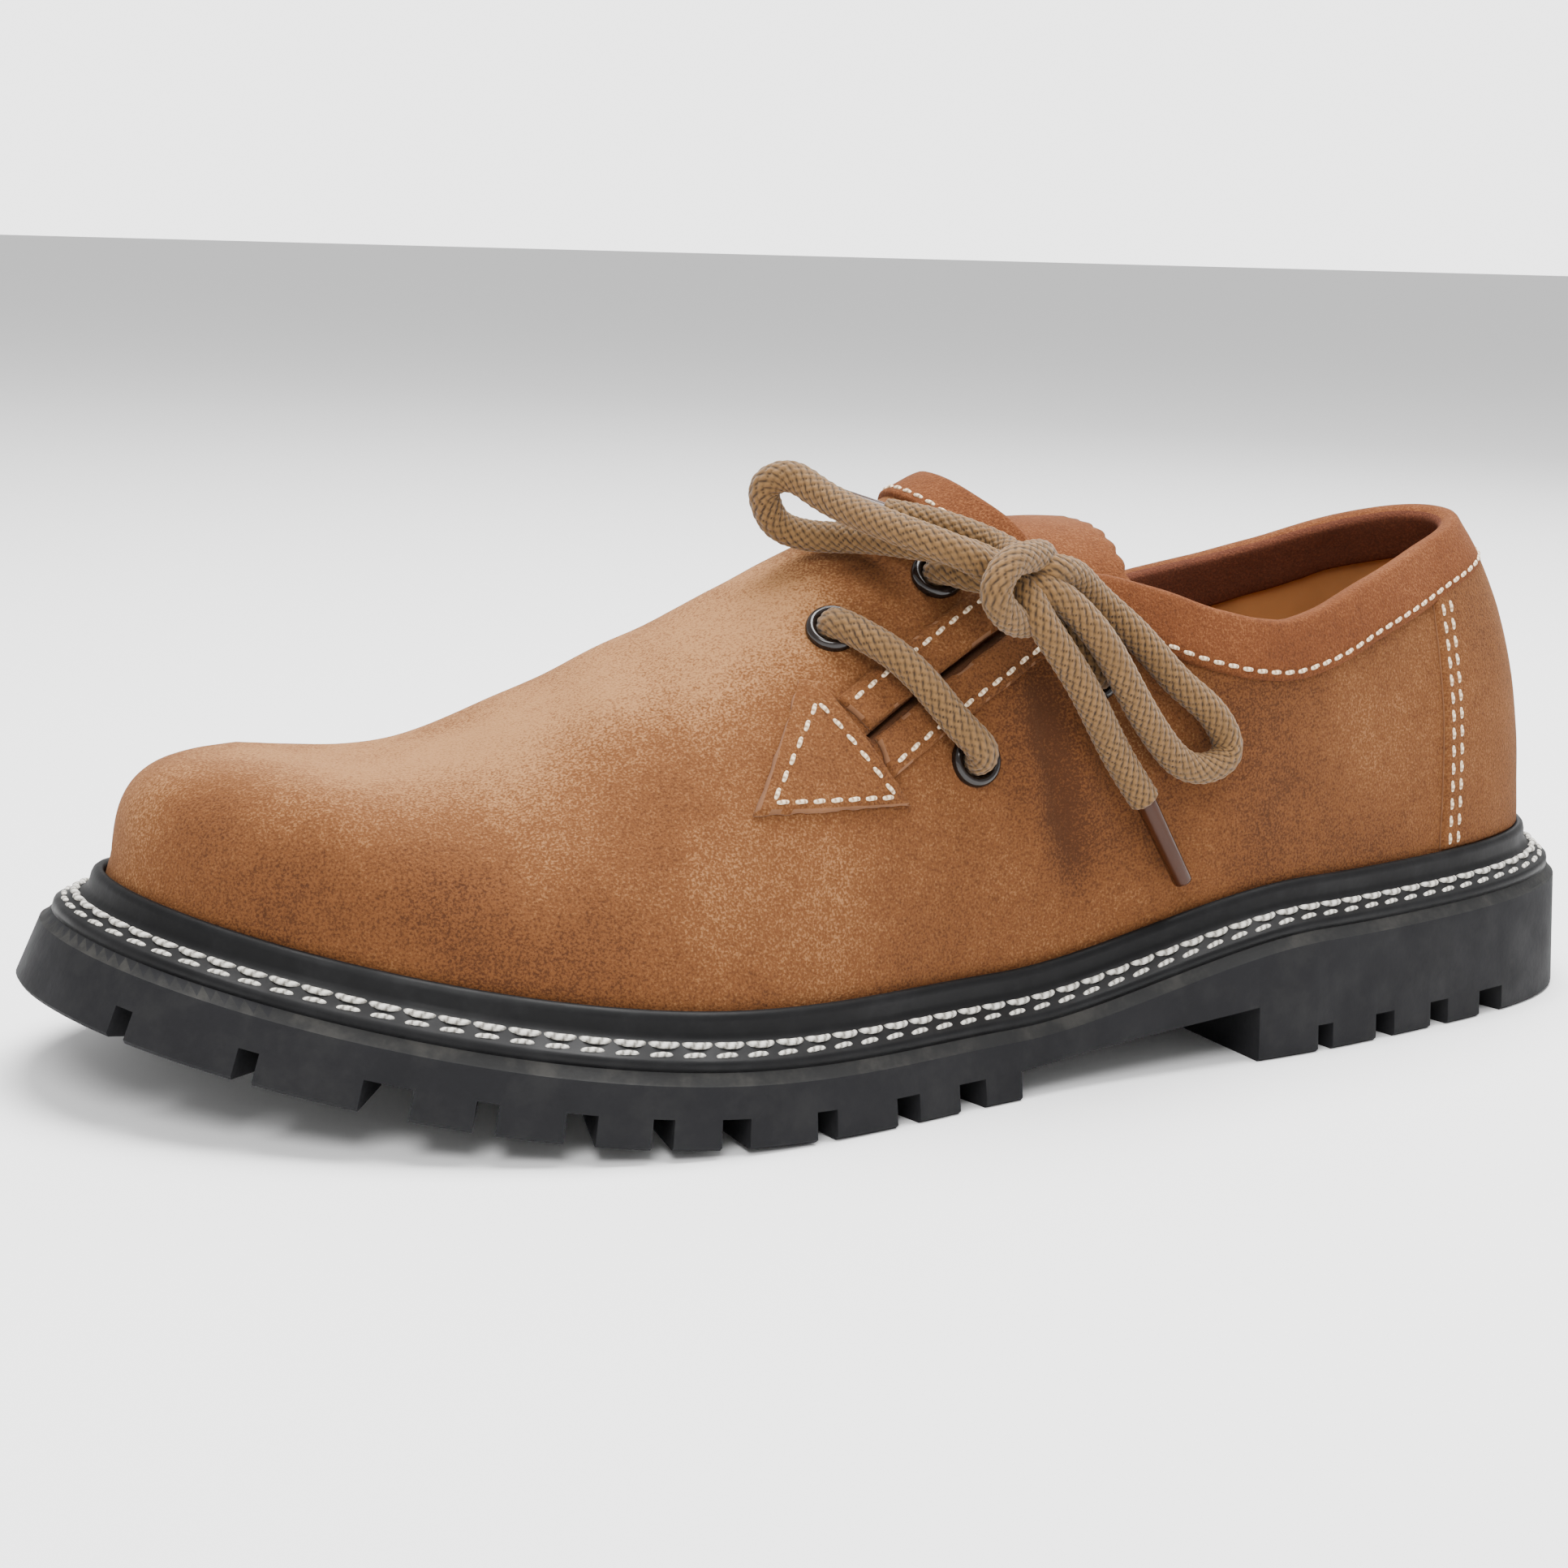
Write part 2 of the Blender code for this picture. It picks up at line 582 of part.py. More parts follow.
def upper_sheet(sides, stations, low, high, rows, out=0.0):
    """Open sheet on the upper's outer face, between a low and a high rise, moved outwards."""
    bm = bmesh.new()
    for side in sides:
        rings = []
        for station in stations(side):
            top, bottom = high(side, station), low(side, station)
            rises = bottom + (top - bottom) * (1 - np.linspace(1, 0, rows + 1) ** ROW_SPREAD)
            rings.append(upper_point(side, np.full(rows + 1, station), rises))
        bridge(bm, rings, closed=False)
    bmesh.ops.remove_doubles(bm, verts=bm.verts, dist=2e-5)
    bmesh.ops.dissolve_degenerate(bm, edges=bm.edges, dist=1e-5)
    bmesh.ops.recalc_face_normals(bm, faces=bm.faces)
    bm.normal_update()
    outward = sum(f.normal.dot(f.calc_center_median() - Vector((f.calc_center_median().x, 0, 0.03))) * f.calc_area()
                  for f in bm.faces)
    if outward < 0:
        bmesh.ops.reverse_faces(bm, faces=bm.faces)
        bm.normal_update()
    if out:
        for v, n in [(v, v.normal.copy()) for v in bm.verts]:
            v.co += n * out
    return bm


def sheet_object(name, bm, look, thickness, inwards):
    mesh = bpy.data.meshes.new(name)
    bm.to_mesh(mesh)
    bm.free()
    obj = add_object(name, mesh, look)
    mod = obj.modifiers.new("leather", "SOLIDIFY")
    mod.thickness = thickness
    mod.offset = -1 if inwards else 1
    mod.use_even_offset = True
    return obj


def slit_outline(width):
    """The slit's outline in side view, wider towards its mouth."""
    line = [(float(along_x(a)), h * INSTEP_HEIGHT) for a, h in SLIT_LINE]
    half = [width / 2, width / 2, width * 1.8]
    front = [(x - w * 0.8, z + w * 0.6) for (x, z), w in zip(line, half)]
    rear = [(x + w * 0.8, z - w * 0.6) for (x, z), w in zip(line, half)]
    return front + rear[::-1]


def upper(look):
    sheet = upper_sheet((-1, 1), upper_stations, lambda side, s: 0.0, top_rise, 8)
    obj = sheet_object("upper", sheet, look, LEATHER, inwards=True)
    cut(obj, prism("slit_cut", slit_outline(SLIT), -BALL_WIDTH, -5 * MM))
    bm = bmesh.new()
    for _, share, height in EYELETS:
        point, normal, _, _ = upper_frame(-1, *on_side(-1, share, height * INSTEP_HEIGHT))
        place = Matrix.Translation(point) @ Vector(normal).to_track_quat("Z", "Y").to_matrix().to_4x4()
        radius = EYELET_BORE / 2 + 1.0 * MM
        bmesh.ops.create_cone(bm, cap_ends=True, segments=12, radius1=radius, radius2=radius, depth=12 * MM, matrix=place)
    cut(obj, add_mesh("eyelet_holes", bm, weld=0))
    return obj


def binding(name, path, leg, look):
    """Folded band over an edge of the upper, given as (side, station, rise) along the edge."""
    frames = [upper_frame(*p) for p in path]
    inside = LEATHER + INSIDE_SLACK
    rings = []
    for i, ((side, station, rise), (point, normal, along, up)) in enumerate(zip(path, frames)):
        a, b = frames[max(i - 1, 0)][0], frames[min(i + 1, len(frames) - 1)][0]
        tangent = (b - a) / np.linalg.norm(b - a)
        tangent = tangent - normal * (tangent @ normal)
        down = np.cross(tangent / np.linalg.norm(tangent), normal)
        move = np.linalg.lstsq(np.stack([along, up], 1), down * leg, rcond=None)[0]
        low = upper_frame(side, min(max(station + move[0], 0), 3), min(max(rise + move[1], 0), 1))
        rings.append([
            low[0] + low[1] * FOLD, point + normal * FOLD - down * 0.3 * FOLD,
            point + normal * 0.3 * FOLD - down * FOLD, point - normal * (inside + 0.3 * FOLD) - down * FOLD,
            point - normal * (inside + FOLD) - down * 0.3 * FOLD, low[0] - low[1] * (inside + FOLD),
            low[0] - low[1] * (inside + FOLD_GAP), point - normal * (inside + FOLD_GAP) - down * FOLD_GAP,
            point + normal * FOLD_GAP - down * FOLD_GAP, low[0] + low[1] * FOLD_GAP,
        ])
    bm = bmesh.new()
    made = bridge(bm, rings)
    bm.faces.new(made[0])
    bm.faces.new(made[-1][::-1])
    return add_mesh(name, bm, look)


def edge_path(side, first, last):
    """The top line of one side between two stations, at the upper's arches."""
    return [(side, float(s), top_rise(side, float(s))) for s in upper_stations(side) if first <= s <= last]


def collar_band(look):
    mouth = float(station_at(along_x(0.421)))
    throat = float(station_at(along_x(0.445)))
    outer = edge_path(-1, 0, mouth)[::-1]
    inner = edge_path(1, 0.01, throat)
    return binding("collar_band", outer + inner, BAND_LEG, look)


def vamp_band(look):
    first, last = float(station_at(along_x(0.452))), float(station_at(along_x(0.4831)))
    inner = edge_path(1, first, last)
    outer = edge_path(-1, float(station_at(along_x(0.443))), last)[::-1]
    return binding("vamp_band", inner + outer[1:], VAMP_BAND_LEG, look)


def heel_counter(look):
    """Counter around the heel, from over the welt's lip to under the collar band."""
    def low(side, station):
        rises = np.linspace(0, 1, 201)
        p = upper_point(side, np.full(201, station), rises)
        return float(np.interp(p[0, 2] + LIP_TOP + 0.5 * MM, p[:, 2], rises))

    def high(side, station):
        return rise_below(side, station, top_rise(side, station), BAND_LEG + 2.0 * MM)

    def stations(side):
        return upper_stations(side)[:9]

    bm = upper_sheet((-1, 1), stations, low, high, 6, out=CLEARANCE + 0.2 * MM)
    return sheet_object("heel_counter", bm, look, COUNTER, inwards=False)


def overlay(name, corners, columns, rows, look):
    """Leather piece laid on the outer side between four corners, given as shares and heights in side view."""
    bm = bmesh.new()
    grid = []
    for v in np.linspace(0, 1, rows + 1):
        start = (1 - v) * np.array(corners[0]) + v * np.array(corners[3])
        end = (1 - v) * np.array(corners[1]) + v * np.array(corners[2])
        line = []
        for u in np.linspace(0, 1, columns + 1):
            share, height = (1 - u) * start + u * end
            point, normal, _, _ = upper_frame(-1, *on_side(-1, share, height * INSTEP_HEIGHT))
            line.append(point + normal * FOLD_GAP)
        grid.append(line)
    bridge(bm, grid, closed=False)
    bmesh.ops.remove_doubles(bm, verts=bm.verts, dist=2e-5)
    bmesh.ops.recalc_face_normals(bm, faces=bm.faces)
    bm.normal_update()
    if sum(f.normal.y for f in bm.faces) > 0:
        bmesh.ops.reverse_faces(bm, faces=bm.faces)
    return sheet_object(name, bm, look, OVERLAY, inwards=False)


def slit_strip(name, front, look):
    """Facing strip along one lip of the slit."""
    line = [(float(along_x(a)), h * INSTEP_HEIGHT) for a, h in SLIT_LINE[:2]]
    (x0, z0), (x1, z1) = line
    run = Vector((x1 - x0, z1 - z0)).normalized()
    across = Vector((-run.y, run.x)) * (1 if front else -1)
    start, end = Vector((x0, z0)) + run * 1 * MM, Vector((x1, z1)) + run * 3 * MM
    near, wide = SLIT / 2 + 0.3 * MM, 7.2 * MM
    corners = [start + across * near, end + across * near, end + across * wide, start + across * wide]
    return overlay(name, [(float(share_of(c.x)), c.y / INSTEP_HEIGHT) for c in corners], 10, 2, look)


def tongue_ridge(x):
    """Height of the tongue's middle: under the vamp, then straight back over the throat."""
    throat = float(along_x(0.50))
    tip = float(along_x(TONGUE_TIP))
    over = ridge(np.minimum(x, throat))[0] - TONGUE_DROP
    back = np.clip((x - throat) / (tip - throat), 0, 1)
    lift = 1.0 * MM * np.sin(back * math.pi)
    return over + (TONGUE_TIP_HEIGHT - over) * back**1.4 + lift


def tongue_point(x, across):
    """Point of the tongue's outer face: across runs from -1 on the outer side to 1 on the inner side."""
    side = -1 if across < 0 else 1
    end = float(arch_ends(side, np.array([station_at(x)]))[1][0, 1])
    height, crown, wall, spine = ridge(x)
    back = float(np.clip((x - along_x(0.50)) / (along_x(TONGUE_TIP) - along_x(0.50)), 0, 1))
    crown, wall = crown + 0.7 * back, wall + 0.3 * back
    low = sole_top(x) + spring(x)
    angle = (1 - abs(across)) * math.pi / 2
    reach = abs(end - spine) - TONGUE_DROP
    z = low + (tongue_ridge(x) - low) * math.sin(angle) ** (2 / wall)
    return (x, spine + side * reach * math.cos(angle) ** (2 / crown), float(z))


def tongue(look):
    xs = along_x(np.concatenate([np.linspace(0.60, 0.50, 5), np.linspace(0.475, TONGUE_TIP, 5)]))
    across = np.concatenate([np.linspace(-0.66, 0, 9), np.linspace(0, 0.5, 6)[1:]])
    bm = bmesh.new()
    bridge(bm, [[tongue_point(float(x), float(a)) for a in across] for x in xs], closed=False)
    bmesh.ops.recalc_face_normals(bm, faces=bm.faces)
    bm.normal_update()
    if sum(f.normal.z for f in bm.faces) < 0:
        bmesh.ops.reverse_faces(bm, faces=bm.faces)
    return sheet_object("tongue", bm, look, TONGUE, inwards=True)


# Eyelets and lace

def eyelet_place(share, height, lift):
    point, normal, _, _ = upper_frame(-1, *on_side(-1, share, height * INSTEP_HEIGHT))
    return Vector(point) + Vector(normal) * lift, Vector(normal)


def eyelet(name, share, height, look):
    """Ring with a barrel through the leather, turned from its section."""
    outer, bore, h = EYELET / 2, EYELET_BORE / 2, EYELET_HEIGHT
    barrel = bore + 0.6 * MM
    section = [
        (outer, 0), (outer - 0.4 * MM, 0.8 * h), (outer - 1.2 * MM, h), (bore, 0.5 * h),
        (bore, -LEATHER), (barrel, -LEATHER), (barrel, 0),
    ]
    bm = bmesh.new()
    turns = 12
    rings = [[(r * math.cos(t), r * math.sin(t), z) for r, z in section]
             for t in np.arange(turns) / turns * 2 * math.pi]
    bridge(bm, rings + [rings[0]])
    obj = add_mesh(name, bm, look)
    place, normal = eyelet_place(share, height, 0.75 * MM)
    obj.matrix_world = Matrix.Translation(place) @ normal.to_track_quat("Z", "Y").to_matrix().to_4x4()
    return obj


def tube(name, points, count, thickness, look):
    """Cord through the points, smooth, with closed ends."""
    curve = bpy.data.curves.new(name, "CURVE")
    curve.dimensions = "3D"
    curve.bevel_depth = thickness / 2
    curve.bevel_resolution = 2
    curve.use_fill_caps = True
    line = smooth_line(points, count)
    spline = curve.splines.new("POLY")
    spline.points.add(count - 1)
    for point, p in zip(spline.points, line):
        point.co = (*p, 1)
    return add_object(name, curve, look)


def lace(look, tip_look):
    """Lower crossing, the strands of the upper eyelets, the knot, its two loops and its two ends."""
    def over(name, lift):
        share, height = {n: (a, h) for n, a, h in EYELETS}[name]
        place, normal = eyelet_place(share, height, 0.75 * MM + EYELET_HEIGHT)
        return place + normal * lift

    def route(key):
        return [Vector(p) * MM for p in LACE_ROUTES[key]]

    end = 2.0 * MM
    tube("lace_bar", [over("eyelet_front_low", end), over("eyelet_front_low", end + 1.6 * MM)] + route("bar")
         + [over("eyelet_rear_low", end + 1.6 * MM), over("eyelet_rear_low", end)], 14, LACE, look)
    tube("lace_strand_front", [over("eyelet_front_high", 1.2 * end)] + route("strand_front"), 3, LACE, look)
    tube("lace_strand_rear", [over("eyelet_rear_high", 1.3 * end)] + route("strand_rear"), 6, LACE, look)
    bm = bmesh.new()
    bmesh.ops.create_uvsphere(bm, u_segments=10, v_segments=7, radius=1.0)
    bmesh.ops.scale(bm, vec=KNOT_RADII, verts=bm.verts)
    knot = add_mesh("lace_knot", bm, look, weld=0)
    knot.location = Vector(KNOT_CENTRE) * MM
    tube("lace_loop_front", route("loop_front"), 19, LACE, look)
    tube("lace_loop_rear", route("loop_rear"), 20, LACE, look)
    for key in ("front", "rear"):
        line = route("end_" + key)
        tube("lace_end_" + key, line, 11, LACE, look)
        tip, run = line[-1], (line[-1] - line[-2]).normalized()
        bm = bmesh.new()
        bmesh.ops.create_cone(bm, cap_ends=True, segments=8, radius1=AGLET / 2, radius2=AGLET / 2, depth=AGLET_LENGTH)
        aglet = add_mesh("lace_tip_" + key, bm, tip_look, weld=0)
        aglet.location = tip + run * (AGLET_LENGTH / 2 + CLEARANCE)
        aglet.rotation_mode = "QUATERNION"
        aglet.rotation_quaternion = run.to_track_quat("Z", "Y")


def main():
    reset()
    suede = material("suede", (0.45, 0.195, 0.070), 0.95)
    suede_band = material("suede_band", (0.33, 0.125, 0.045), 0.95)
    rubber = material("sole_rubber", (0.026, 0.027, 0.030), 0.55)
    welt_rubber = material("welt_rubber", (0.012, 0.012, 0.013), 0.35)
    lining = material("insole_leather", (0.42, 0.25, 0.12), 0.8)
    cord = material("lace_cord", (0.20, 0.125, 0.050), 0.85)
    ring = material("eyelet_metal", (0.045, 0.032, 0.028), 0.25, 1.0)
    tip = material("tip_plastic", (0.10, 0.060, 0.035), 0.15)
    sole = outsole(rubber)
    welt(welt_rubber)
    insole(lining)
    upper(suede)
    tongue(suede_band)
    collar_band(suede_band)
    vamp_band(suede_band)
    heel_counter(suede)
    slit_strip("slit_strip_front", True, suede)
    slit_strip("slit_strip_rear", False, suede)
    overlay("slit_patch", [PATCH[0], PATCH[0], PATCH[2], PATCH[1]], 5, 5, suede)
    for name, share, height in EYELETS:
        eyelet(name, share, height, ring)
    lace(cord, tip)
    box = np.array([v.co for v in sole.data.vertices])
    centre = Vector((*(box.min(0) + box.max(0))[:2] / 2, 0))
    for name in ("haferl_shoe", "cutters"):
        for obj in bpy.data.collections[name].objects:
            obj.location -= centre


main()
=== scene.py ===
"""Looks of the haferl shoe: napped suede, seams, welt stitching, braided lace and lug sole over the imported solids.

Shapes are drawn again from the last's own named sizes, finer than in the solids. Lengths are metres.
The last's frame has the toe towards -X and the laced outer side towards -Y; ORIGIN moves it to the row's frame.
"""
import math

import bmesh
import bpy
import numpy as np
from mathutils import Matrix, Vector, noise
from mathutils.bvhtree import BVHTree

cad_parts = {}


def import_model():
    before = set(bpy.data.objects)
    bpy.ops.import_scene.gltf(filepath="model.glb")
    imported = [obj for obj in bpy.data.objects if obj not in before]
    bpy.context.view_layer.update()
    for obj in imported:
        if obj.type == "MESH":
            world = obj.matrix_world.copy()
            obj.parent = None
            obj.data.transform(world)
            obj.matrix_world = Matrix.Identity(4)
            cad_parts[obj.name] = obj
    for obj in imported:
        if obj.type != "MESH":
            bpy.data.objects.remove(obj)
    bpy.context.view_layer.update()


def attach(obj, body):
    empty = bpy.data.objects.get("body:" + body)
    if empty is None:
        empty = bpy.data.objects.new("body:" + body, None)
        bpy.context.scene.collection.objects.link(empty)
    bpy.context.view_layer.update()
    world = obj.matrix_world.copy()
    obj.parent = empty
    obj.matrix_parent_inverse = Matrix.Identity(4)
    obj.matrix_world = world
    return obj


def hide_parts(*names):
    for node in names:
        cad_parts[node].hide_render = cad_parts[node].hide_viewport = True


MM = 0.001

# Last
UPPER_LENGTH = 286 * MM
BALL_WIDTH = 101 * MM
INSTEP_HEIGHT = 100 * MM
HEEL_CENTRE = 0.123
TOE_CENTRE = 0.895

# Sole
HEEL_THICKNESS = 22.3 * MM
FORE_THICKNESS = 12.0 * MM
HEEL_RISE_LENGTH = 70 * MM
HEEL_SWEEP = 2.0 * MM
TOE_LIFT = 18.3 * MM
SPRING_POWER = 2.15
SPRING_START = 0.572
RIM_REACH = 7.3 * MM
BAND_DEPTH = 1.6 * MM
BAND_SLOPE = 1.0 * MM
BAND_STEP = 0.5 * MM
WALL_FLARE = 1.4 * MM
FOOT_BEVEL = 0.6 * MM
LUG_DEPTH = 5.0 * MM
LUG_REACH = 20 * MM
BREAST_HEIGHT = 10 * MM
BREAST_AT = 0.313
TREAD_END = 0.497

# Welt
LIP_WIDTH = 2.1 * MM
LIP_TOP = 8.4 * MM
LEDGE_TOP = 4.4 * MM
LEDGE_EDGE = 1.7 * MM

# Leather
CLEARANCE = 0.3 * MM
LEATHER = 2.2 * MM
INSOLE = 2.5 * MM
TONGUE = 1.6 * MM
TONGUE_TIP_HEIGHT = 93 * MM
TONGUE_TIP = 0.370
TONGUE_DROP = 5.05 * MM
FOLD = 1.65 * MM
SLIT = 1.6 * MM

# Eyelets and lace
EYELET = 9.4 * MM
EYELET_BORE = 5.6 * MM
LACE = 5.5 * MM
AGLET = 4.0 * MM
AGLET_LENGTH = 18 * MM

PLAN = [
    (0.000, 0.000), (0.022, -0.172), (0.075, -0.262), (0.160, -0.325), (0.280, -0.385), (0.400, -0.408),
    (0.520, -0.450), (0.620, -0.510), (0.710, -0.532), (0.790, -0.485), (0.870, -0.380), (0.940, -0.235),
    (0.985, -0.072), (1.000, 0.090), (0.988, 0.240), (0.945, 0.372), (0.870, 0.448), (0.790, 0.470),
    (0.710, 0.452), (0.620, 0.392), (0.520, 0.318), (0.400, 0.280), (0.280, 0.300), (0.160, 0.310),
    (0.075, 0.268), (0.022, 0.165),
]
RIDGE = [
    (0.123, 1.010, 2.1, 2.1, -0.010), (0.208, 1.110, 2.2, 2.2, -0.020), (0.307, 1.160, 2.2, 2.2, -0.030),
    (0.396, 1.120, 2.1, 2.0, -0.030), (0.485, 0.995, 2.0, 1.9, -0.030), (0.544, 0.913, 2.0, 1.8, -0.025),
    (0.609, 0.822, 2.0, 1.8, -0.020), (0.678, 0.726, 2.0, 1.9, -0.005), (0.742, 0.628, 2.2, 2.1, 0.015),
    (0.806, 0.552, 2.6, 2.5, 0.035), (0.895, 0.545, 3.7, 3.9, 0.060),
]
TOP_LINE = [
    (0.483, 1.040, 1.040), (0.468, 0.990, 0.995), (0.453, 0.954, 0.960), (0.444, 0.900, 0.925),
    (0.436, 0.862, 0.905), (0.429, 0.862, 0.890), (0.421, 0.868, 0.880), (0.404, 0.868, 0.865),
    (0.361, 0.836, 0.825), (0.333, 0.807, 0.800), (0.297, 0.783, 0.785), (0.270, 0.776, 0.785),
    (0.237, 0.795, 0.803), (0.198, 0.832, 0.825), (0.153, 0.867, 0.860), (0.119, 0.895, 0.897),
    (0.087, 0.920, 0.922), (0.059, 0.945, 0.945),
]
GROOVES = [
    (0.952, 3.5 * MM), (0.888, 8.0 * MM), (0.839, 3.5 * MM), (0.792, 5.0 * MM), (0.746, 3.5 * MM),
    (0.702, 5.0 * MM), (0.642, 4.0 * MM), (0.585, 5.0 * MM), (0.535, 6.0 * MM),
    (0.256, 3.8 * MM), (0.202, 5.2 * MM), (0.148, 5.2 * MM), (0.093, 7.5 * MM),
]
# Place of one more shallow notch on the toe's rim, of 720 steps around the tread
TOE_GROOVE = 341
MIDDLE_LUGS = [
    (0.915, 0.13, 8 * MM), (0.864, 0.20, 11 * MM), (0.813, 0.24, 9 * MM), (0.764, 0.25, 9 * MM),
    (0.714, 0.25, 9 * MM), (0.665, 0.23, 10 * MM), (0.608, 0.19, 11 * MM), (0.549, 0.16, 10 * MM),
    (0.252, 0.13, 10 * MM), (0.188, 0.12, 9 * MM), (0.124, 0.10, 8 * MM),
]
EYELETS = {
    "eyelet_front_low": (0.579, 0.771), "eyelet_front_high": (0.506, 0.857),
    "eyelet_rear_low": (0.506, 0.560), "eyelet_rear_high": (0.417, 0.691),
}
SLIT_LINE = [(0.577, 0.608), (0.468, 0.779), (0.425, 0.905)]
PATCH = [(0.605, 0.683), (0.656, 0.507), (0.561, 0.502)]

# Creases pressed in: depth and half width of the trough, then its line on the leather, in millimetres
CREASES = [
    (1.4, 3.2, [(11.0, -33.0, 73.0), (12.9, -35.1, 65.5), (14.2, -37.6, 56.1), (15.0, -39.4, 46.4), (18.4, -41.0, 36.0)]),
    (0.6, 3.5, [(6.5, -35.0, 64.6), (5.8, -38.7, 52.5), (7.2, -40.9, 40.0)]),
    (0.5, 3.0, [(24.0, -37.0, 58.0), (26.0, -39.5, 48.0), (31.0, -40.5, 38.0)]),
    (0.5, 4.5, [(-21.4, -8.0, 86.0), (-13.6, -15.9, 86.6), (-5.4, -18.5, 88.1)]),
    (0.5, 5.0, [(-40.0, 12.0, 74.0), (-47.0, 0.0, 73.0), (-52.0, -14.0, 69.0), (-54.0, -30.0, 58.0)]),
    (0.4, 5.0, [(-58.0, 20.0, 63.0), (-64.0, 2.0, 64.0), (-68.0, -18.0, 58.0), (-68.0, -34.0, 46.0)]),
    (0.7, 4.0, [(20.0, 30.0, 66.0), (14.0, 33.0, 52.0), (12.0, 34.0, 38.0)]),
    (0.5, 4.0, [(34.0, 29.0, 62.0), (30.0, 31.0, 48.0), (30.0, 32.0, 36.0)]),
]
# Where the nap is lighter or darker, partly brushed nap and partly painted light on the tops and painted shade in the
# creases and low sides: amount, reach and place, in millimetres
NAP_AND_PAINTED_LIGHT = [
    (0.85, 30, (-78, -8, 62)), (0.75, 28, (-108, 10, 56)), (0.75, 24, (-45, -4, 78)), (0.60, 18, (-22, -12, 86)),
    (0.20, 14, (-30, -40, 40)), (-0.35, 16, (-125, -20, 40)), (-0.30, 20, (60, -32, 45)), (0.25, 16, (85, -30, 55)),
    (-0.40, 9, (14, -36, 62)), (-0.45, 8, (16, -39, 50)), (-0.35, 8, (18, -41, 38)), (0.25, 12, (32, -38, 60)),
    (-0.35, 10, (-13, -14, 87)), (0.12, 18, (-62, -44, 34)), (-0.25, 18, (-92, -42, 30)), (0.30, 25, (-60, 30, 50)),
    (-0.30, 22, (30, 32, 50)), (0.25, 20, (90, 30, 50)), (0.30, 12, (135, 0, 70)), (-0.30, 14, (132, 0, 40)),
]


def along_x(share):
    """Place along the shoe of a share of the upper's length, from the heel to the toe."""
    return (0.5 - np.asarray(share, float)) * UPPER_LENGTH


def share_of(x):
    return 0.5 - np.asarray(x) / UPPER_LENGTH


def natural_spline(xs, ys, at):
    """Natural cubic through the points (xs, ys), read at the given places."""
    xs, ys, at = np.array(xs, float), np.array(ys, float), np.asarray(at, float)
    count = len(xs)
    step = np.diff(xs)
    system, right = np.eye(count), np.zeros(count)
    for i in range(1, count - 1):
        system[i, i - 1:i + 2] = step[i - 1], 2 * (step[i - 1] + step[i]), step[i]
        right[i] = 6 * ((ys[i + 1] - ys[i]) / step[i] - (ys[i] - ys[i - 1]) / step[i - 1])
    bend = np.linalg.solve(system, right)
    k = np.clip(np.searchsorted(xs, at) - 1, 0, count - 2)
    u, v = at - xs[k], xs[k + 1] - at
    return ((bend[k] * v**3 + bend[k + 1] * u**3) / (6 * step[k])
            + (ys[k] / step[k] - bend[k] * step[k] / 6) * v
            + (ys[k + 1] / step[k] - bend[k + 1] * step[k] / 6) * u)


def run_along(points):
    """Length run at each point of a line."""
    return np.concatenate([[0], np.cumsum(np.linalg.norm(np.diff(points, axis=0), axis=1))])


def smooth_line(points, count, closed=False):
    """Smooth curve through the points, sampled evenly."""
    p = np.array(points, float)
    if not closed:
        t = run_along(p)
        at = np.linspace(0, t[-1], count)
        return np.stack([natural_spline(t, p[:, k], at) for k in range(p.shape[1])], 1)
    n = len(p)
    around = np.concatenate([p, p, p, p[:1]])
    t = run_along(around)
    at = t[n] + np.arange(count) / count * (t[2 * n] - t[n])
    return np.stack([natural_spline(t, around[:, k], at) for k in range(p.shape[1])], 1)


def evenly(points, step):
    """A line read again at even steps."""
    t = run_along(points)
    at = np.linspace(0, t[-1], max(int(round(t[-1] / step)), 2) + 1)
    return np.stack([np.interp(at, t, points[:, k]) for k in range(points.shape[1])], 1)


def feather_line(count):
    return smooth_line([(along_x(a), s * BALL_WIDTH) for a, s in PLAN], count, closed=True)


def grown(loop, reach):
    """Closed plan loop grown outwards by a distance."""
    along = np.roll(loop, -1, 0) - np.roll(loop, 1, 0)
    out = np.stack([along[:, 1], -along[:, 0]], 1) / np.linalg.norm(along, axis=1)[:, None]
    if ((loop - loop.mean(0)) * out).sum() < 0:
        out = -out
    return loop + out * reach


SAMPLES = 720
FEATHER = feather_line(SAMPLES)
TOE_X = along_x(1.0) - 13.5 * MM


def spring_share(x):
    return np.clip((along_x(SPRING_START) - x) / (along_x(SPRING_START) - TOE_X), 0, None)


def spring_slope(x):
    return -SPRING_POWER * TOE_LIFT * spring_share(x) ** (SPRING_POWER - 1) / (along_x(SPRING_START) - TOE_X)


def sprung(points):
    """Points of the flat sole bent up with the toe spring."""
    p = np.array(points, float)
    x, z = p[..., 0].copy(), p[..., 2].copy()
    p[..., 0] = x - z * spring_slope(x)
    p[..., 2] = z + TOE_LIFT * spring_share(x) ** SPRING_POWER
    return p


def sole_top(x):
    """Height of the outsole's top face over its tread, before the spring."""
    u = np.clip(x / HEEL_RISE_LENGTH, 0, 1)
    back = np.clip((x - HEEL_RISE_LENGTH) / (along_x(0) - HEEL_RISE_LENGTH), 0, 1)
    return FORE_THICKNESS + (HEEL_THICKNESS - FORE_THICKNESS) * u * u * (3 - 2 * u) + HEEL_SWEEP * back**2


def table(rows, share_at, column):
    """A table's column read smoothly at a share of the length, held at its ends."""
    rows = np.array(sorted(rows))
    return natural_spline(rows[:, 0], rows[:, column], np.clip(share_at, rows[0, 0], rows[-1, 0]))


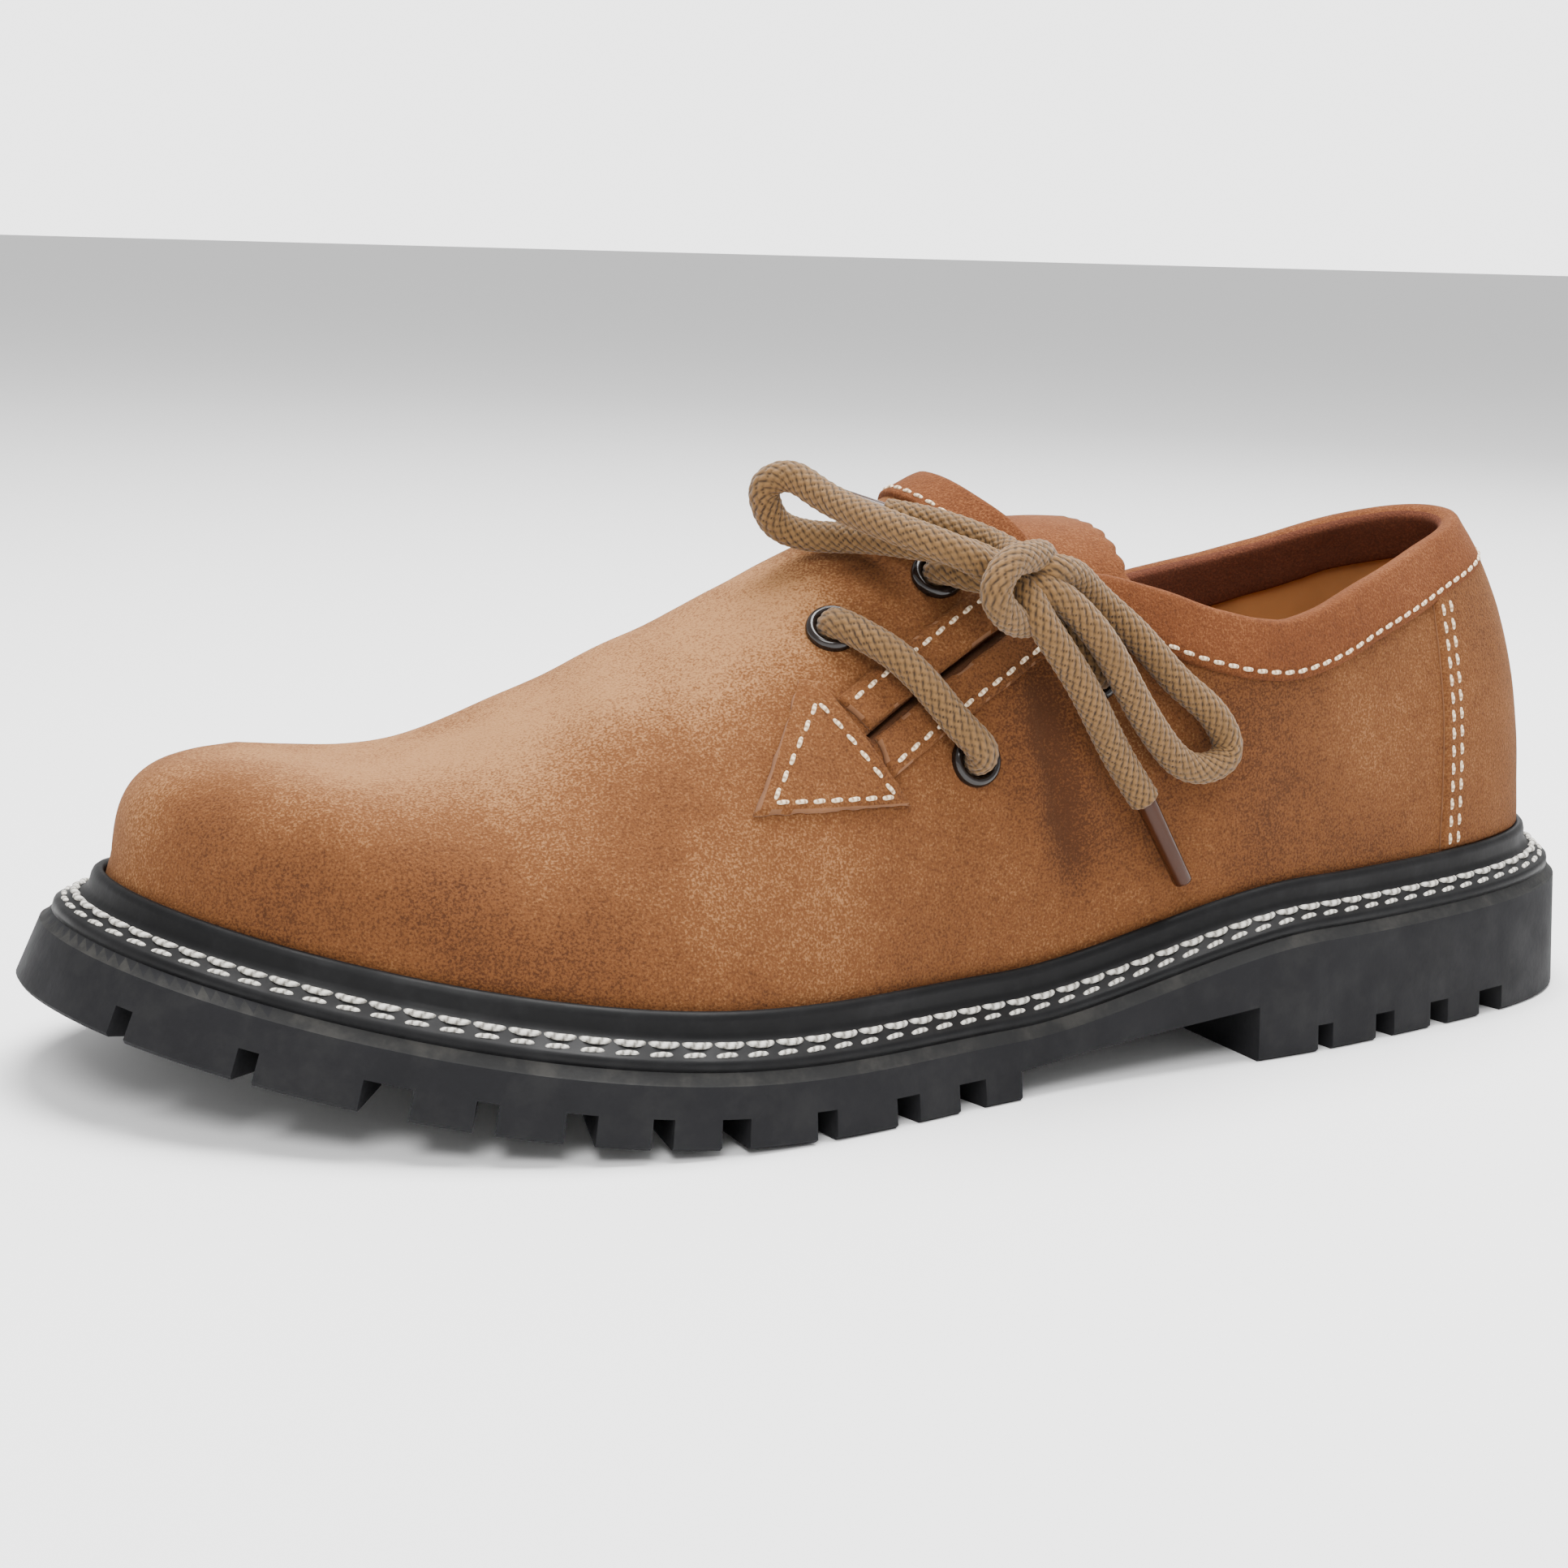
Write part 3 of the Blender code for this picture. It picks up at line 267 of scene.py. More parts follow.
def ridge(x):
    """Height, crown and wall fullness, and side of the last's ridge at x."""
    share = share_of(x)
    return (table(RIDGE, share, 1) * INSTEP_HEIGHT, table(RIDGE, share, 2), table(RIDGE, share, 3),
            table(RIDGE, share, 4) * BALL_WIDTH)


EDGE = sprung(np.stack([FEATHER[:, 0], FEATHER[:, 1], sole_top(FEATHER[:, 0]) + CLEARANCE], 1))


def read_loop(loop, index):
    """A closed loop read at fractional indices."""
    closed = np.concatenate([loop, loop[:1]])
    place = np.asarray(index, float) % len(loop)
    return np.stack([np.interp(place, np.arange(len(closed)), closed[:, k]) for k in range(loop.shape[1])], -1)


def arch_foot(station):
    """Foot of each arch on the spine, in plan."""
    heel, toe = along_x(HEEL_CENTRE), along_x(TOE_CENTRE)
    foot_x = np.interp(station, [0, 1, 2, 3], [heel, heel, toe, toe])
    return np.stack([foot_x, ridge(foot_x)[3]], -1)


def edge_index(side, station):
    """Place of each arch's end along the feather line, as a fractional index."""
    shape = np.shape(station)
    station = np.atleast_1d(np.asarray(station, float))
    foot = arch_foot(station)
    numbers = np.arange(SAMPLES)
    numbers = np.where(numbers > SAMPLES * 3 // 4, numbers - SAMPLES, numbers)
    half = EDGE[:, 1] * side > 0
    order = EDGE[half, 0].argsort()
    index = np.interp(foot[..., 0], EDGE[half, 0][order], numbers[half][order] if side < 0 else
                      (numbers[half] % SAMPLES)[order])
    for centre, first, towards in ((along_x(HEEL_CENTRE), 0, 1), (along_x(TOE_CENTRE), 2, -1)):
        turn = station - first if towards > 0 else first + 1 - station
        fan = (turn >= 0) & (turn <= 1)
        near = towards * (EDGE[:, 0] - centre) > -4 * MM
        ahead = EDGE[near, :2] - [centre, float(ridge(centre)[3])]
        angle = np.arctan2(side * ahead[:, 1], towards * ahead[:, 0])
        order = angle.argsort()
        index[fan] = np.interp(turn[fan] * math.pi / 2, angle[order], numbers[near][order])
    return index.reshape(shape)


def upper_point(side, station, rise):
    """Point on the upper's outer face: rise runs from 0 at the feather line to 1 on the ridge."""
    station, rise = np.broadcast_arrays(np.asarray(station, float), np.asarray(rise, float))
    foot, end = arch_foot(station), read_loop(EDGE, edge_index(side, station))
    height, crown, wall, _ = ridge(foot[..., 0])
    low = end[..., 2]
    angle = rise * math.pi / 2
    reach = np.cos(angle) ** (2 / crown)
    lift = np.sin(angle) ** (2 / wall)
    plan = foot + (end[..., :2] - foot) * reach[..., None]
    z = low + (height - low) * lift
    plan[..., 0] -= np.minimum(z - low, LIP_TOP + 2 * MM) * spring_slope(end[..., 0]) * reach
    return np.concatenate([plan, z[..., None]], -1)


def top_height(x, side):
    """Height of the top line at x on one side, rounded a little, far over the ridge ahead of the throat."""
    share = share_of(x)
    rows = np.array(sorted(TOP_LINE))
    height = sum(np.interp(share + d, rows[:, 0], rows[:, 1 if side < 0 else 2]) for d in np.linspace(-0.007, 0.007, 7))
    return np.where(share > rows[-1, 0], INSTEP_HEIGHT * 1.5, height / 7 * INSTEP_HEIGHT - FOLD)


def top_rises(side, stations):
    """Rise at which each arch meets the top line, 1 where it stays closed."""
    rises = np.linspace(0, 1, 401)
    p = upper_point(side, np.asarray(stations, float)[:, None], rises[None, :])
    over = p[..., 2] - top_height(p[..., 0], side)
    found = []
    for row in over:
        above = np.nonzero(row > 0)[0]
        if len(above) == 0 or above[0] == 0:
            found.append(1.0)
            continue
        k = above[0]
        found.append(rises[k - 1] + (rises[k] - rises[k - 1]) * -row[k - 1] / (row[k] - row[k - 1]))
    return np.array(found)


def station_at(x):
    """Station of the arch that stands at x, between the heel's and the toe's fans."""
    heel, toe = along_x(HEEL_CENTRE), along_x(TOE_CENTRE)
    return 1 + (heel - x) / (heel - toe)


def srgb(r, g, b):
    """Linear colour of an 8-bit display colour."""
    c = np.array([r, g, b]) / 255
    return tuple(float(v) for v in np.where(c <= 0.04045, c / 12.92, ((c + 0.055) / 1.055) ** 2.4))


# Objects

def outline_loop(count, reach, heights):
    """Closed loop at a reach outside the feather line, before the toe spring."""
    loop = grown(feather_line(count), reach)
    return np.stack([loop[:, 0], loop[:, 1], heights(loop[:, 0])], 1)


TREAD_REACH = RIM_REACH + BAND_SLOPE + BAND_STEP + WALL_FLARE


def sole_rings(count):
    """Rings of the sole's wall, from its top edge to the foot of the tread."""
    return [
        outline_loop(count, RIM_REACH, sole_top),
        outline_loop(count, RIM_REACH + BAND_SLOPE, lambda x: sole_top(x) - BAND_DEPTH),
        outline_loop(count, RIM_REACH + BAND_SLOPE + BAND_STEP, lambda x: sole_top(x) - BAND_DEPTH - BAND_STEP / 2),
        outline_loop(count, TREAD_REACH, lambda x: 0 * x + FOOT_BEVEL),
        outline_loop(count, TREAD_REACH - FOOT_BEVEL, lambda x: 0 * x),
    ]


def find_origin():
    """Middle of the sole's plan box in the last's frame: the row's origin."""
    box = np.concatenate([sprung(ring) for ring in sole_rings(72)])
    middle = (box.min(0) + box.max(0)) / 2
    return np.array([middle[0], middle[1], 0])


ORIGIN = find_origin()


def new_object(name, mesh, looks):
    obj = bpy.data.objects.new(name, mesh)
    bpy.context.scene.collection.objects.link(obj)
    for look in looks if isinstance(looks, (list, tuple)) else [looks]:
        mesh.materials.append(look)
    return obj


def mesh_object(name, verts, faces, looks, smooth=True, weld=1e-5, values=None):
    """Object from points in the last's frame and faces; values are float attributes by name."""
    mesh = bpy.data.meshes.new(name)
    mesh.from_pydata((np.asarray(verts) - ORIGIN).tolist(), [], [list(f) for f in faces])
    for key, data in (values or {}).items():
        mesh.attributes.new(key, "FLOAT", "POINT").data.foreach_set("value", np.asarray(data, np.float32))
    bm = bmesh.new()
    bm.from_mesh(mesh)
    if weld:
        bmesh.ops.remove_doubles(bm, verts=bm.verts, dist=weld)
        bmesh.ops.dissolve_degenerate(bm, edges=bm.edges, dist=1e-6)
    bmesh.ops.recalc_face_normals(bm, faces=bm.faces)
    bm.to_mesh(mesh)
    bm.free()
    mesh.shade_smooth() if smooth else mesh.shade_flat()
    return new_object(name, mesh, looks)


def grid_faces(rows, columns, start=0, closed=False):
    """Quads of a grid whose points are numbered row by row."""
    faces = []
    for r in range(rows - 1):
        for c in range(columns if closed else columns - 1):
            d = (c + 1) % columns
            a, b = start + r * columns, start + (r + 1) * columns
            faces.append((a + c, a + d, b + d, b + c))
    return faces


def loft(rings, closed_section=True, caps=True):
    """Points and faces of a loft through rings of equal count."""
    rings = np.asarray(rings)
    n = rings.shape[1]
    faces = grid_faces(len(rings), n, closed=closed_section)
    if caps:
        faces += [tuple(range(n)), tuple(range((len(rings) - 1) * n, len(rings) * n))[::-1]]
    return rings.reshape(-1, 3), faces


def cutter(obj):
    obj.hide_render = True
    obj.hide_viewport = True
    return obj


def apply_modifiers(obj):
    """Freeze an object's modifiers into its mesh."""
    graph = bpy.context.evaluated_depsgraph_get()
    mesh = bpy.data.meshes.new_from_object(obj.evaluated_get(graph))
    obj.modifiers.clear()
    obj.data = mesh


def cut(obj, tools):
    """Cut tools out of an object and remove them."""
    for tool in tools:
        mod = obj.modifiers.new(tool.name, "BOOLEAN")
        mod.operation = "DIFFERENCE"
        mod.solver = "EXACT"
        mod.object = tool
    bpy.context.view_layer.update()
    apply_modifiers(obj)
    for tool in tools:
        bpy.data.objects.remove(tool)


def prism(name, outline, near, far):
    """Cutter from an outline in side view, as (x, z), between two places along Y."""
    n = len(outline)
    verts = [(x, near, z) for x, z in outline] + [(x, far, z) for x, z in outline]
    faces = [(i, (i + 1) % n, n + (i + 1) % n, n + i) for i in range(n)] + [tuple(range(n)), tuple(range(n, 2 * n))[::-1]]
    return mesh_object(name, verts, faces, [], smooth=False)


# Materials

class Graph:
    """Short names for the nodes of one material."""

    def __init__(self, name):
        self.material = bpy.data.materials.new(name)
        self.material.use_nodes = True
        self.tree = self.material.node_tree
        self.shader = self.tree.nodes["Principled BSDF"]
        self.place = self.tree.nodes.new("ShaderNodeTexCoord").outputs["Object"]

    def link(self, source, target):
        self.tree.links.new(source, target)

    def put(self, target, value):
        if isinstance(value, bpy.types.NodeSocket):
            self.link(value, target)
        else:
            target.default_value = value

    def noise(self, scale, detail=2.0, stretch=None, roughness=0.5):
        node = self.tree.nodes.new("ShaderNodeTexNoise")
        node.inputs["Scale"].default_value = scale
        node.inputs["Detail"].default_value = detail
        node.inputs["Roughness"].default_value = roughness
        source = self.place
        if stretch:
            mapping = self.tree.nodes.new("ShaderNodeMapping")
            mapping.inputs["Scale"].default_value = stretch
            self.link(self.place, mapping.inputs["Vector"])
            source = mapping.outputs["Vector"]
        self.link(source, node.inputs["Vector"])
        return node.outputs["Fac"]

    def ranged(self, value, low, high, to_low=0.0, to_high=1.0):
        node = self.tree.nodes.new("ShaderNodeMapRange")
        node.interpolation_type = "SMOOTHSTEP"
        for key, v in (("Value", value), ("From Min", low), ("From Max", high), ("To Min", to_low), ("To Max", to_high)):
            self.put(node.inputs[key], v)
        return node.outputs["Result"]

    def math(self, kind, a, b=0.0):
        node = self.tree.nodes.new("ShaderNodeMath")
        node.operation = kind
        self.put(node.inputs[0], a)
        self.put(node.inputs[1], b)
        return node.outputs["Value"]

    def mix(self, factor, a, b):
        node = self.tree.nodes.new("ShaderNodeMix")
        node.data_type = "RGBA"
        self.put(node.inputs["Factor"], factor)
        for key, v in (("A", a), ("B", b)):
            self.put(node.inputs[[i for i, s in enumerate(node.inputs) if s.name == key and s.type == "RGBA"][0]],
                     (*v, 1) if isinstance(v, tuple) else v)
        return [s for s in node.outputs if s.type == "RGBA"][0]

    def attribute(self, name):
        node = self.tree.nodes.new("ShaderNodeAttribute")
        node.attribute_name = name
        return node.outputs["Fac"]

    def bump(self, height, distance, strength=1.0):
        node = self.tree.nodes.new("ShaderNodeBump")
        node.inputs["Distance"].default_value = distance
        node.inputs["Strength"].default_value = strength
        self.link(height, node.inputs["Height"])
        self.link(node.outputs["Normal"], self.shader.inputs["Normal"])

    def set(self, **values):
        for key, v in values.items():
            self.put(self.shader.inputs[key.replace("_", " ")], v)
        return self.material


def suede_look(name, light, middle, dark, with_painted_tone=True):
    """Brushed suede: short nap in light and dark flecks, with soft brushed areas; it can also read painted light and
    shade from the mesh.
    """
    g = Graph(name)
    fleck = g.noise(2300, 2.5, roughness=0.65)
    coarse = g.noise(420, 2.0)
    area = g.noise(38, 3.0)
    # The attribute read here adds painted light on the tops and painted shade in the creases and low sides.
    nap_and_shade_tone = g.attribute("nap_and_shade_tone") if with_painted_tone else 0.5
    body = g.math("ADD", g.ranged(fleck, 0.3, 0.7, -0.25, 0.25), g.ranged(coarse, 0.3, 0.7, -0.04, 0.04))
    body = g.math("ADD", body, g.ranged(area, 0.3, 0.7, -0.09, 0.09))
    body = g.math("ADD", body, nap_and_shade_tone)
    lower = g.mix(g.ranged(body, 0.0, 0.5), dark, middle)
    colour = g.mix(g.ranged(body, 0.5, 1.0), lower, light)
    fibre = g.noise(2400, 2.0)
    g.bump(g.math("ADD", g.math("MULTIPLY", fleck, 0.7), g.math("MULTIPLY", fibre, 0.5)), 0.45 * MM, 0.75)
    g.set(Base_Color=colour, Roughness=0.95, Sheen_Weight=0.25, Sheen_Roughness=0.45,
          Sheen_Tint=(*light, 1), Specular_IOR_Level=0.15)
    return g.material


def rubber_look(name, colour, worn, roughness, bump, coat=0.0):
    """Moulded rubber with a fine skin, a little dust and scuffs."""
    g = Graph(name)
    dust = g.ranged(g.noise(120, 4.0, roughness=0.7), 0.42, 0.72)
    g.bump(g.math("ADD", g.noise(900, 3.0), g.math("MULTIPLY", g.noise(160, 2.0), 0.6)), bump, 0.6)
    g.set(Base_Color=g.mix(dust, colour, worn), Roughness=g.ranged(g.noise(70, 3.0), 0.3, 0.7, roughness - 0.07,
          roughness + 0.1), Coat_Weight=coat, Coat_Roughness=0.25, Specular_IOR_Level=0.13)
    return g.material


def thread_look(name, colour, shade):
    """Twisted thread, with painted shade in the turns of its plies."""
    g = Graph(name)
    turn = g.attribute("twist")
    g.bump(turn, 0.25 * MM, 0.8)
    g.set(Base_Color=g.mix(g.ranged(turn, 0.0, 0.8), shade, colour), Roughness=0.75, Specular_IOR_Level=0.3)
    return g.material


def lace_look(name):
    """Round braided cord; weave is the height of its yarns, with painted shade where the yarns lie low."""
    g = Graph(name)
    weave = g.attribute("weave")
    yarn = g.noise(2600, 2.0, stretch=(1, 1, 1))
    # Painted shade between the yarns: dark where the weave is low.
    shade = g.mix(g.ranged(weave, 0.15, 0.85), srgb(40, 28, 15), srgb(114, 84, 48))
    colour = g.mix(g.ranged(g.noise(260, 2.0), 0.35, 0.75, 0.0, 0.4), shade, srgb(90, 66, 37))
    g.bump(g.math("ADD", weave, g.math("MULTIPLY", yarn, 0.5)), 0.22 * MM, 0.8)
    g.set(Base_Color=colour, Roughness=0.82, Sheen_Weight=0.15, Specular_IOR_Level=0.25)
    return g.material


def plain_look(name, colour, roughness, metallic=0.0, coat=0.0, grain=1200, bump=0.03 * MM,
               specular=0.5):
    """Smooth skin with a very fine unevenness."""
    g = Graph(name)
    fine = g.noise(grain, 3.0)
    g.bump(fine, bump, 0.5)
    darker = tuple(c * 0.75 for c in colour)
    g.set(Base_Color=g.mix(g.ranged(g.noise(60, 3.0), 0.35, 0.7), colour, darker), Roughness=roughness,
          Metallic=metallic, Coat_Weight=coat, Coat_Roughness=0.08, Specular_IOR_Level=specular)
    return g.material


LOOKS = {
    "suede": suede_look("suede_nap", srgb(147, 106, 69), srgb(99, 61, 33), srgb(64, 37, 20)),
    "band": suede_look("suede_fold", srgb(126, 80, 48), srgb(94, 53, 28), srgb(60, 33, 18), with_painted_tone=False),
    # The same suede where it folds inside the collar, painted darker as shade.
    "band_shaded_inside": suede_look("suede_inner_painted_shade", srgb(104, 60, 40), srgb(80, 44, 30), srgb(54, 29, 20), with_painted_tone=False),
    "tongue": suede_look("suede_tongue", srgb(134, 88, 54), srgb(100, 58, 32), srgb(68, 38, 21), with_painted_tone=False),
    "raw": plain_look("raw_edge", srgb(120, 80, 50), 0.95, grain=900, bump=0.4 * MM),
    "lining": plain_look("lining_leather", srgb(168, 116, 68), 0.7, grain=500, bump=0.08 * MM),
    "sole": rubber_look("rubber_sole", srgb(22, 22, 24), srgb(28, 28, 29), 0.66, 0.10 * MM),
    "sole_band": rubber_look("rubber_band", srgb(28, 28, 28), srgb(44, 43, 41), 0.68, 0.12 * MM),
    "welt": rubber_look("rubber_welt", srgb(13, 13, 14), srgb(20, 20, 21), 0.50, 0.06 * MM, coat=0.0),
    "thread": thread_look("thread_cream", srgb(236, 216, 186), srgb(146, 112, 78)),
    "welt_thread": thread_look("thread_grey", srgb(205, 202, 194), srgb(98, 95, 88)),
    "lace": lace_look("lace_braid"),
    "metal": plain_look("eyelet_lacquer", srgb(26, 19, 16), 0.14, coat=0.12, bump=0.02 * MM, specular=0.35),
    "tip": plain_look("tip_clear_brown", srgb(58, 31, 17), 0.18, coat=0.04, bump=0.05 * MM, specular=0.2),
}


# Upper

def fine_stations():
    shares = np.concatenate([np.linspace(HEEL_CENTRE, 0.405, 70, endpoint=False),
                             np.linspace(0.405, 0.485, 64, endpoint=False),
                             np.linspace(0.485, TOE_CENTRE, 96, endpoint=False)])
    return np.concatenate([np.linspace(0, 1, 26, endpoint=False), station_at(along_x(shares)), np.linspace(2, 3, 36)])


def line_distance(points, line):
    """Distance of each point from a line, and the share along it of the nearest place."""
    line = evenly(np.array(line, float) * MM, 1.5 * MM)
    gap = np.linalg.norm(points[:, None, :] - line[None, :, :], axis=2)
    return gap.min(1), gap.argmin(1) / (len(line) - 1)


def relief(points):
    """Height over the last at each point of the leather: creases, pull of the eyelets, slow unevenness."""
    height = np.zeros(len(points))
    for depth, width, line in CREASES:
        gap, share = line_distance(points, line)
        fade = np.sin(np.clip(share * 0.94 + 0.03, 0, 1) * math.pi) ** 0.6
        w = width * MM
        height -= depth * MM * fade * np.exp(-(gap / w) ** 2)
        height += 0.35 * depth * MM * fade * np.exp(-((gap - 2.1 * w) / w) ** 2)
    for share, level in EYELETS.values():
        centre = np.array([along_x(share), -30 * MM, level * INSTEP_HEIGHT])
        gap = np.hypot(points[:, 0] - centre[0], points[:, 2] - centre[2])
        height -= 0.5 * MM * np.exp(-(gap / (6 * MM)) ** 2) * (points[:, 1] < 0)
    slow = np.array([noise.noise(Vector(p) * 45) for p in points])
    fine = np.array([noise.noise(Vector(p) * 130) for p in points])
    return height + 0.35 * MM * slow + 0.12 * MM * fine


def nap_and_shade_tones(points):
    """How light the nap is painted at each point, around 0.5: brushed nap with painted light on the tops and painted
    shade in the creases and low sides.
    """
    nap_and_shade_tone = np.full(len(points), 0.40)
    # Painted light and shade mixed with brushed nap, from the table of spots.
    for amount, reach, place in NAP_AND_PAINTED_LIGHT:
        gap = np.linalg.norm(points - np.array(place) * MM, axis=1)
        nap_and_shade_tone += amount * 0.5 * np.exp(-(gap / (reach * MM)) ** 2)
    # Painted shade along each crease's trough.
    for depth, width, line in CREASES:
        gap, share = line_distance(points, line)
        fade = np.sin(np.clip(share * 0.94 + 0.03, 0, 1) * math.pi) ** 0.6
        nap_and_shade_tone -= 0.19 * depth * fade * np.exp(-(gap / (width * MM)) ** 2)
    streak = np.array([noise.noise(Vector((p[0] * 60, p[1] * 60, p[2] * 18))) for p in points])
    return np.clip(nap_and_shade_tone + 0.10 * streak, 0, 1)


def upper_sheet():
    """Outer face of the upper as a fine mesh, with its relief, and a tree of it."""
    rows = 58
    stations = fine_stations()
    verts, faces = [], []
    for side in (-1, 1):
        tops = top_rises(side, stations)
        rises = tops[:, None] * (1 - np.linspace(1, 0, rows + 1)[None, :] ** 1.2)
        p = upper_point(side, stations[:, None], rises)
        faces += grid_faces(len(stations), rows + 1, start=len(verts) * len(stations) * (rows + 1))
        verts.append(p.reshape(-1, 3))
    bm = bmesh.new()
    made = [bm.verts.new(p) for p in np.concatenate(verts)]
    for face in faces:
        bm.faces.new([made[i] for i in face])
    bmesh.ops.remove_doubles(bm, verts=bm.verts, dist=2e-5)
    bmesh.ops.dissolve_degenerate(bm, edges=bm.edges, dist=1e-5)
    bmesh.ops.recalc_face_normals(bm, faces=bm.faces)
    bm.normal_update()
    if sum(f.normal.z * f.calc_area() for f in bm.faces if f.calc_center_median().z > 60 * MM) < 0:
        bmesh.ops.reverse_faces(bm, faces=bm.faces)
        bm.normal_update()
    points = np.array([v.co for v in bm.verts])
    for v, n, h in zip(bm.verts, [v.normal.copy() for v in bm.verts], relief(points)):
        v.co += n * h
    bm.normal_update()
    tree = BVHTree.FromBMesh(bm)
    return bm, tree


SHEET, TREE = upper_sheet()


def slit_outline(width):
    """The slit's outline in side view, wider towards its mouth."""
    line = [(float(along_x(a)), h * INSTEP_HEIGHT) for a, h in SLIT_LINE]
    half = [width * 0.35, width / 2, width * 1.8]
    front = [(x - w * 0.8, z + w * 0.6) for (x, z), w in zip(line, half)]
    rear = [(x + w * 0.8, z - w * 0.6) for (x, z), w in zip(line, half)]
    return front + rear[::-1]


def on_leather(point):
    """Nearest place on the leather and its outward normal."""
    place, normal, _, _ = TREE.find_nearest(Vector(point))
    return np.array(place), np.array(normal)


def outer_side(x, z):
    """Place on the outer side at x and z, and its normal."""
    place, normal, _, _ = TREE.ray_cast(Vector((x, -0.3, z)), Vector((0, 1, 0)))
    return (np.array(place), np.array(normal)) if place else on_leather((x, -0.04, z))


def upper():
    mesh = bpy.data.meshes.new("upper_suede")
    SHEET.to_mesh(mesh)
    points = np.array([v.co for v in mesh.vertices])
    # Painted light and shade, with the nap's brushed tone, stored on the mesh for the suede look.
    mesh.attributes.new("nap_and_shade_tone", "FLOAT", "POINT").data.foreach_set("value", nap_and_shade_tones(points).astype(np.float32))
    mesh.transform(Matrix.Translation(Vector(-ORIGIN)))
    mesh.shade_smooth()
    obj = new_object("upper_suede", mesh, [LOOKS["suede"], LOOKS["lining"], LOOKS["raw"]])
    mod = obj.modifiers.new("leather", "SOLIDIFY")
    mod.thickness = LEATHER
    mod.offset = -1
    mod.use_even_offset = True
    mod.material_offset = 1
    mod.material_offset_rim = 2
    tools = [prism("slit_cut", slit_outline(SLIT), -BALL_WIDTH, -5 * MM)]
    for share, level in EYELETS.values():
        place, normal = outer_side(float(along_x(share)), level * INSTEP_HEIGHT)
        bm = bmesh.new()
        radius = EYELET_BORE / 2 + 0.9 * MM
        turn = Matrix.Translation(Vector(place - ORIGIN)) @ Vector(normal).to_track_quat("Z", "Y").to_matrix().to_4x4()
        bmesh.ops.create_cone(bm, cap_ends=True, segments=32, radius1=radius, radius2=radius, depth=10 * MM, matrix=turn)
        tool = bpy.data.meshes.new("eyelet_cut")
        bm.to_mesh(tool)
        bm.free()
        tools.append(new_object("eyelet_cut", tool, []))
    cut(obj, tools)
    return obj


def offset_piece(name, grid, low, high, look):
    """Leather piece on a grid of places and normals, between two heights over the leather, with rounded edges."""
    places, normals = grid
    rows, columns = places.shape[:2]
    border = np.ones((rows, columns), bool)
    border[1:-1, 1:-1] = False
    top = np.where(border, low + (high - low) * 0.45, high)
    upper_face = places + normals * top[..., None]
    lower_face = places + normals * low
    verts = np.concatenate([upper_face.reshape(-1, 3), lower_face.reshape(-1, 3)])
    count = rows * columns
    faces = grid_faces(rows, columns) + [f[::-1] for f in grid_faces(rows, columns, start=count)]
    rim = [(0, c) for c in range(columns)] + [(r, columns - 1) for r in range(1, rows)]
    rim += [(rows - 1, c) for c in range(columns - 2, -1, -1)] + [(r, 0) for r in range(rows - 2, 0, -1)]
    numbers = [r * columns + c for r, c in rim]
    for a, b in zip(numbers, numbers[1:] + numbers[:1]):
        faces.append((a, b, b + count, a + count))
    # Painted light and shade, with the nap's brushed tone, stored on the mesh for the suede look.
    obj = mesh_object(name, verts, faces, [look, LOOKS["raw"]], values={"nap_and_shade_tone": nap_and_shade_tones(verts)}, weld=2e-5)
    facing = BVHTree.FromPolygons([tuple(p - ORIGIN) for p in places.reshape(-1, 3)], grid_faces(rows, columns))
    for poly in obj.data.polygons:
        near = facing.find_nearest(poly.center)
        poly.material_index = 1 if near[1] and abs(near[1].dot(poly.normal)) < 0.6 else 0
    return obj


def shares_with_edge(length, count, edge=0.55 * MM):
    """Shares across a piece with a narrow first and last step."""
    e = min(edge / length, 0.2)
    return np.concatenate([[0], np.linspace(e, 1 - e, count), [1]])


def patch_grid(corners, columns, rows, wobble=0.0):
    """Grid on the outer side between four corners in side view, as (x, z)."""
    a, b, c, d = [np.array(p) for p in corners]
    us = shares_with_edge(max(np.linalg.norm(b - a), np.linalg.norm(c - d)), columns)
    vs = shares_with_edge(max(np.linalg.norm(d - a), np.linalg.norm(c - b)), rows)
    places, normals = np.zeros((len(vs), len(us), 3)), np.zeros((len(vs), len(us), 3))
    middle = (a + b + c + d) / 4
    for i, v in enumerate(vs):
        for j, u in enumerate(us):
            p = (1 - v) * ((1 - u) * a + u * b) + v * ((1 - u) * d + u * c)
            if wobble and (i in (0, len(vs) - 1) or j in (0, len(us) - 1)):
                away = (p - middle) / np.linalg.norm(p - middle)
                p = p + away * wobble * noise.noise(Vector((p[0] * 350, 0, p[1] * 350)))
            places[i, j], normals[i, j] = outer_side(*p)
    return places, normals


def slit_frame(front):
    """Start, end, direction along and across of the slit's straight part, in side view."""
    line = [np.array([float(along_x(a)), h * INSTEP_HEIGHT]) for a, h in SLIT_LINE[:2]]
    run = (line[1] - line[0]) / np.linalg.norm(line[1] - line[0])
    across = np.array([-run[1], run[0]]) * (1 if front else -1)
    return line[0] + run * 1 * MM, line[1] + run * 6 * MM, run, across


def slit_strip(name, front):
    """Facing strip along one lip of the slit, and its row of stitches."""
    start, end, run, across = slit_frame(front)
    near, wide = SLIT / 2, 7.3 * MM
    corners = [start + across * near, end + across * near, end + across * wide, start + across * wide - run * 2 * MM]
    obj = offset_piece(name, patch_grid(corners, 44, 9, 0.45 * MM), -0.2 * MM, 1.15 * MM, LOOKS["suede"])
    row = np.array([start + across * (wide - 1.7 * MM), end + across * (wide - 1.7 * MM)])
    return obj, side_row(row, 1.15 * MM)


def side_row(line, lift):
    """Places and normals of a stitch line on the outer side, given in side view."""
    found = [outer_side(*p) for p in evenly(np.asarray(line), 0.8 * MM)]
    return np.array([p + n * lift for p, n in found]), np.array([n for _, n in found])


